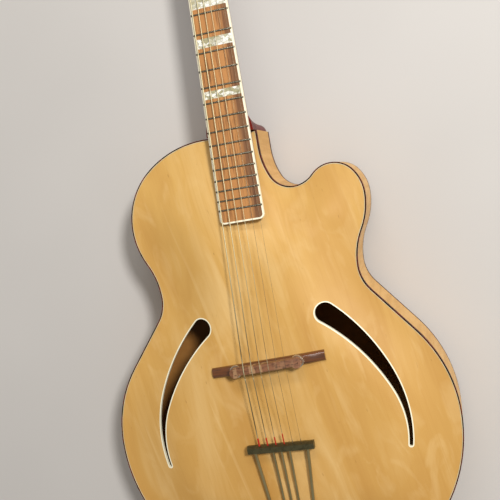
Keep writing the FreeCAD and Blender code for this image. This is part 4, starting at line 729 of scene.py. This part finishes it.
class GUITAR_OT_buttons(bpy.types.Operator):
    """Six moulded tuning buttons: a tablet of rounded section that narrows towards its shaft"""

    bl_idname = "guitar.buttons"
    bl_label = "Tuning buttons"

    def execute(self, context):
        finish = context.scene.guitar_finish
        plastic = clouded_plastic("plastic_moulded_cream", finish.button, linear("D2BB88"), size(8, 8, 8),
                                  0.6, 0.5)
        for number in STRING_NUMBERS:
            joint = JOINTS["worm_spin_%d" % number]
            post = JOINTS["post_spin_%d" % number]
            outward = np.array(joint["axis"])
            thick = np.array(post["axis"])
            wide = np.cross(thick, outward)
            start = np.array(joint["pos_m"]) + outward * BUTTON_START
            points, faces = self.tablet(start, outward, wide, thick)
            piece = new_piece("button_%d" % number, points, faces, plastic)
            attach(piece, "worm_%d" % number)
            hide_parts("tuner_button_%d" % number)
        return {"FINISHED"}

    def tablet(self, start, outward, wide, thick):
        """Superellipse sections along the shaft: p(t, a) = start + L t outward + W(t) c(a) wide + T(t) s(a)
        thick, with c and s powers of cosine and sine that keep their sign, W and T easing from a neck to the
        full size, and both falling to almost nothing at the two ends as a rounded edge."""
        t = 0.5 - 0.5 * np.cos(np.linspace(0, np.pi, BUTTON_RINGS))
        rim = (1 - np.abs(2 * t - 1) ** RIM_POWER) ** RIM_ROOT
        ease = np.clip(t / NECK_LENGTH, 0, 1)
        ease = ease * ease * (3 - 2 * ease)
        width = np.maximum(BUTTON_HALF_WIDTH * rim * (NECK_WIDTH + (1 - NECK_WIDTH) * ease), BUTTON_LEAST)
        depth = np.maximum(BUTTON_HALF_THICKNESS * rim * (NECK_THICKNESS + (1 - NECK_THICKNESS) * ease),
                           BUTTON_LEAST)
        a = np.linspace(0, 2 * np.pi, BUTTON_SIDES, endpoint=False)
        c = np.sign(np.cos(a)) * np.abs(np.cos(a)) ** SECTION_POWER
        s = np.sign(np.sin(a)) * np.abs(np.sin(a)) ** SECTION_POWER
        points = (start + (BUTTON_LENGTH * t)[:, None, None] * outward
                  + (width[:, None] * c)[:, :, None] * wide
                  + (depth[:, None] * s)[:, :, None] * thick).reshape(-1, 3)
        # Turned over, since these rings run the other way round
        walls = grid_faces(BUTTON_RINGS, BUTTON_SIDES)[:, [0, 3, 2, 1]]
        first = np.arange(BUTTON_SIDES)[::-1]
        last = (BUTTON_RINGS - 1) * BUTTON_SIDES + np.arange(BUTTON_SIDES)
        return points, walls.tolist() + [first.tolist(), last.tolist()]


class GUITAR_OT_body_finish(bpy.types.Operator):
    """Woods and bindings of the body"""

    bl_idname = "guitar.body_finish"
    bl_label = "Body finishes"

    def execute(self, context):
        finish = context.scene.guitar_finish
        paint(lacquered_spruce(finish), "top_plate")
        paint(lacquered_maple("maple_bent_lacquered", finish, size(17, 25, 2.4), size(9, 9, 90), 0.0),
              "bass_rib", "treble_rib")
        paint(lacquered_maple("maple_carved_lacquered", finish, size(3, 110, 25), size(70, 9, 70), 0.8),
              "back_plate")
        paint(raw_spruce(), "linings", "neck_block", "tail_block", "tone_bars")
        paint(clouded_plastic("celluloid_tortoise_polished", finish.tortoise, finish.tortoise_amber,
                              size(14, 14, 6), 0.8, 0.04), "top_binding", "back_binding")
        paint(clouded_plastic("celluloid_yellowed_scraped", finish.purfling, linear("B0965E"),
                              size(17, 33, 17), 0.5, 0.3), "top_purfling")
        paint(clouded_plastic("celluloid_ivory_polished", finish.ivory, linear("EADFBE"),
                              size(17, 33, 17), 0.5, 0.4), "soundhole_bindings", "fretboard_binding")
        return {"FINISHED"}


class GUITAR_OT_neck_finish(bpy.types.Operator):
    """Woods, pearl and metal of the neck"""

    bl_idname = "guitar.neck_finish"
    bl_label = "Neck finishes"

    def execute(self, context):
        finish = context.scene.guitar_finish
        paint(stained_mahogany(finish), "neck")
        paint(oiled_rosewood(finish), "fretboard")
        paint(cast_pearl(), "fret_markers")
        paint(clouded_plastic("bone_filed", linear("EDE2C6"), linear("DCCBA2"), size(5, 5, 5), 0.6, 0.4),
              "nut")
        paint(polished_ebony("ebony_polished", size(3.3, 50, 3.3)), "headstock_overlay")
        paint(clouded_plastic("celluloid_tortoise_pressed", finish.tortoise, finish.tortoise_amber,
                              size(9, 14, 6), 0.9, 0.5), "truss_rod_cover")
        # The frets are painted darker than clean nickel silver, a painted reflection of a dark room; their
        # clouds are tarnish
        paint(aged_metal("nickel_silver_drawn", linear("A79F8B"), linear("5E5646"), size(3.3, 3.3, 3.3),
                         0.7, 0.18), "frets")
        return {"FINISHED"}


class GUITAR_OT_hardware_finish(bpy.types.Operator):
    """Bridge, tailpiece and tuning machine finishes"""

    bl_idname = "guitar.hardware_finish"
    bl_label = "Hardware finishes"

    def execute(self, context):
        finish = context.scene.guitar_finish
        paint(polished_rosewood(finish), "bridge_base")
        paint(worn_rosewood(finish), "bridge_saddle")
        nickel = aged_metal("nickel_plate", linear("CFC9BA"), linear("8A8272"), size(5.5, 5.5, 5.5),
                            0.6, 0.22)
        posts = ["string_post_%d" % number for number in STRING_NUMBERS]
        worms = ["worm_shaft_%d" % number for number in STRING_NUMBERS]
        paint(nickel, "tuner_plates", "tuner_bushings", "headstock_screws", "bracket_screws", "hinge_pin",
              "tailpiece_bracket", "bridge_posts", *posts, *worms)
        paint(aged_metal("nickel_plate_tarnished", linear("787152"), linear("4A4632"), size(6.5, 6.5, 6.5),
                         0.8, 0.32), "tailpiece_crossbar")
        paint(aged_metal("brass_plate_worn", linear("C2B282"), linear("7A6E4C"), size(8, 60, 8), 0.6, 0.3),
              "tailpiece_rods")
        paint(aged_metal("steel_drawn", linear("9A9894"), linear("6A6864"), size(3.3, 17, 3.3), 0.5, 0.35),
              "truss_rod", "truss_rod_nut")
        paint(polished_ebony("ebony_turned", size(2.5, 17, 2.5)), "end_pin")
        return {"FINISHED"}


WHEEL_RIDGES = 60
RIDGE_STEPS = 4
KNURL_DEPTH = 0.45 * MM
WHEEL_CHAMFER = 0.5 * MM
WHEEL_LIP = 2.0 * MM
LIP_SLOPE = 0.4 * MM
FACE_DEPTH = 0.3 * MM
WHEEL_BORE = 2.3 * MM


class GUITAR_OT_thumbwheels(bpy.types.Operator):
    """Two knurled wheels that carry the saddle on its studs"""

    bl_idname = "guitar.thumbwheels"
    bl_label = "Thumbwheels"

    def execute(self, context):
        nickel = aged_metal("nickel_plate_knurled", linear("E2DCCB"), linear("A79E8A"), size(4, 4, 4),
                            0.5, 0.2)
        for side in ("bass", "treble"):
            low, high = (np.array(corner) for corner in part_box("thumbwheel_" + side))
            points, faces = self.knurled(low, high)
            piece = new_piece("thumbwheel_knurled_" + side, points, faces, nickel, smooth=False)
            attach(piece, "wheel_" + side)
            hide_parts("thumbwheel_" + side)
        return {"FINISHED"}

    def knurled(self, low, high):
        """A closed profile (r, z) of bore, sunk face, lip, chamfer and rim, the same from above and below,
        turned about Z: p(a, k) = middle + (r_k - d_k w(a)) (cos a, sin a) + z_k Z, where w is a raised cosine
        with one wave a ridge, and d_k is the depth of the knurl on the rim and nothing elsewhere."""
        rim = (high[0] - low[0]) / 2
        lip = rim - WHEEL_LIP
        tall = high[2] - low[2]
        r = np.array([WHEEL_BORE, lip - LIP_SLOPE, lip, rim - WHEEL_CHAMFER, rim])
        z = np.array([FACE_DEPTH, FACE_DEPTH, 0, 0, WHEEL_CHAMFER])
        depth = np.array([0, 0, 0, 0, KNURL_DEPTH])
        r = np.concatenate([r, r[::-1]])
        z = np.concatenate([z, tall - z[::-1]])
        depth = np.concatenate([depth, depth[::-1]])
        a = np.linspace(0, 2 * np.pi, WHEEL_RIDGES * RIDGE_STEPS, endpoint=False)[:, None]
        radius = r - depth * (0.5 - 0.5 * np.cos(WHEEL_RIDGES * a))
        middle = (low + high) / 2
        points = np.stack([middle[0] + radius * np.cos(a), middle[1] + radius * np.sin(a),
                           np.broadcast_to(low[2] + z, radius.shape)], axis=-1).reshape(-1, 3)
        return points, grid_faces(len(a), len(r), closed=True).tolist()


BALL_WAIST = 0.35 * MM
WAIST_SHARE = 0.7
BALL_EDGE = 0.25 * MM
EDGE_POWER = 12
BALL_STEPS = 25
BALL_SIDES = 24


class GUITAR_OT_ball_ends(bpy.types.Operator):
    """Brass spools at the strings' ends, behind the crossbar's front wall"""

    bl_idname = "guitar.ball_ends"
    bl_label = "Ball ends"

    def execute(self, context):
        """A spool turned about X: its radius over its length is the rim's, less a waist of raised cosine, and
        rounded off at both ends."""
        sizes = context.scene.guitar_strings
        brass = aged_metal("brass_turned", linear("C8A860"), linear("8A6E38"), size(2, 2, 2), 0.5, 0.28)
        reach = np.linspace(-1, 1, BALL_STEPS)
        waist = BALL_WAIST * (0.5 + 0.5 * np.cos(np.pi * np.clip(reach / WAIST_SHARE, -1, 1)))
        radius = BALL_RADIUS - waist - BALL_EDGE * np.abs(reach) ** EDGE_POWER
        for number in STRING_NUMBERS:
            bar, saddle, _ = string_corners(number, sizes)
            run = direction(bar, saddle)
            centre = bar - run * (BALL_BEHIND / run[1] + BALL_RADIUS)
            path = centre + reach[:, None] * BALL_RADIUS * X_AXIS
            points, faces, _ = carried_circle(path, radius[:, None], Z_AXIS, BALL_SIDES)
            piece = new_piece("string_ball_%d" % number, points, faces, brass)
            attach(piece, "tailpiece")
            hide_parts("string_%d" % number)
        return {"FINISHED"}


CAMERA_PLACE = (0.23486, -0.06315, 1.02542)
CAMERA_TURN = (-6.3956, 13.3663, -10.1106)
CAMERA_LENS = 56.886
SENSOR_WIDTH = 36
FLOOR_REACH = 4.0
SKY_TINT = (1, 0.98, 0.95, 1)
LAMP_AIM = (0, -0.2, 0.1)
# Name, place, size and the setting that holds the power
LAMPS = (
    ("key_lamp", (1.25, 0.62, 2.3), (0.42, 0.42), "key_power"),
    ("soft_box", (0.2, 1.25, 1.5), (1.3, 0.4), "box_power"),
    ("side_fill", (1.35, 0.25, 0.55), (0.6, 0.6), "fill_power"),
)


class GUITAR_OT_stage(bpy.types.Operator):
    """Pale floor, soft lamps, even sky and a camera at the photograph's angle"""

    bl_idname = "guitar.stage"
    bl_label = "Stage"

    def execute(self, context):
        settings = context.scene.guitar_stage
        corners = FLOOR_REACH * np.array([[-1, -1, 0], [1, -1, 0], [1, 1, 0], [-1, 1, 0]])
        new_piece("floor", corners, [[0, 1, 2, 3]], painted_floor(settings))
        for name, place, spread, setting in LAMPS:
            self.lamp(name, place, spread, getattr(settings, setting))
        world = bpy.data.worlds.new("even_sky")
        world.use_nodes = True
        background = world.node_tree.nodes["Background"].inputs
        background["Color"].default_value = SKY_TINT
        background["Strength"].default_value = settings.sky
        context.scene.world = world
        data = bpy.data.cameras.new("camera")
        data.lens = CAMERA_LENS
        data.sensor_width = SENSOR_WIDTH
        camera = bpy.data.objects.new("camera", data)
        camera.location = CAMERA_PLACE
        camera.rotation_euler = Euler([math.radians(angle) for angle in CAMERA_TURN])
        context.scene.collection.objects.link(camera)
        context.scene.camera = camera
        context.scene.view_settings.view_transform = "Standard"
        return {"FINISHED"}

    def lamp(self, name, place, spread, watts):
        """An elliptical lamp that points at the guitar."""
        data = bpy.data.lights.new(name, "AREA")
        data.shape = "ELLIPSE"
        data.size, data.size_y = spread
        data.energy = watts
        lamp = bpy.data.objects.new(name, data)
        lamp.location = place
        aim = Vector(LAMP_AIM) - Vector(place)
        lamp.rotation_euler = aim.to_track_quat("-Z", "Y").to_euler()
        bpy.context.scene.collection.objects.link(lamp)


OPERATORS = (
    GUITAR_OT_body_finish,
    GUITAR_OT_neck_finish,
    GUITAR_OT_hardware_finish,
    GUITAR_OT_strings,
    GUITAR_OT_silk,
    GUITAR_OT_ball_ends,
    GUITAR_OT_buttons,
    GUITAR_OT_thumbwheels,
    GUITAR_OT_stage,
)


class GUITAR_PT_panel(bpy.types.Panel):
    """Lists the guitar's operators"""

    bl_idname = "GUITAR_PT_panel"
    bl_label = "Archtop guitar"
    bl_space_type = "VIEW_3D"
    bl_region_type = "UI"
    bl_category = "Archtop"

    def draw(self, context):
        for operator in OPERATORS:
            self.layout.operator(operator.bl_idname)


CLASSES = (FinishSettings, StringSettings, StageSettings, *OPERATORS, GUITAR_PT_panel)


def register():
    for item in CLASSES:
        bpy.utils.register_class(item)
    bpy.types.Scene.guitar_finish = PointerProperty(type=FinishSettings)
    bpy.types.Scene.guitar_strings = PointerProperty(type=StringSettings)
    bpy.types.Scene.guitar_stage = PointerProperty(type=StageSettings)


def unregister():
    del bpy.types.Scene.guitar_stage
    del bpy.types.Scene.guitar_strings
    del bpy.types.Scene.guitar_finish
    for item in reversed(CLASSES):
        bpy.utils.unregister_class(item)


def main():
    register()
    bpy.ops.guitar.body_finish()
    bpy.ops.guitar.neck_finish()
    bpy.ops.guitar.hardware_finish()
    bpy.ops.guitar.strings()
    bpy.ops.guitar.silk()
    bpy.ops.guitar.ball_ends()
    bpy.ops.guitar.buttons()
    bpy.ops.guitar.thumbwheels()
    bpy.ops.guitar.stage()


if __name__ == "__main__":
    main()
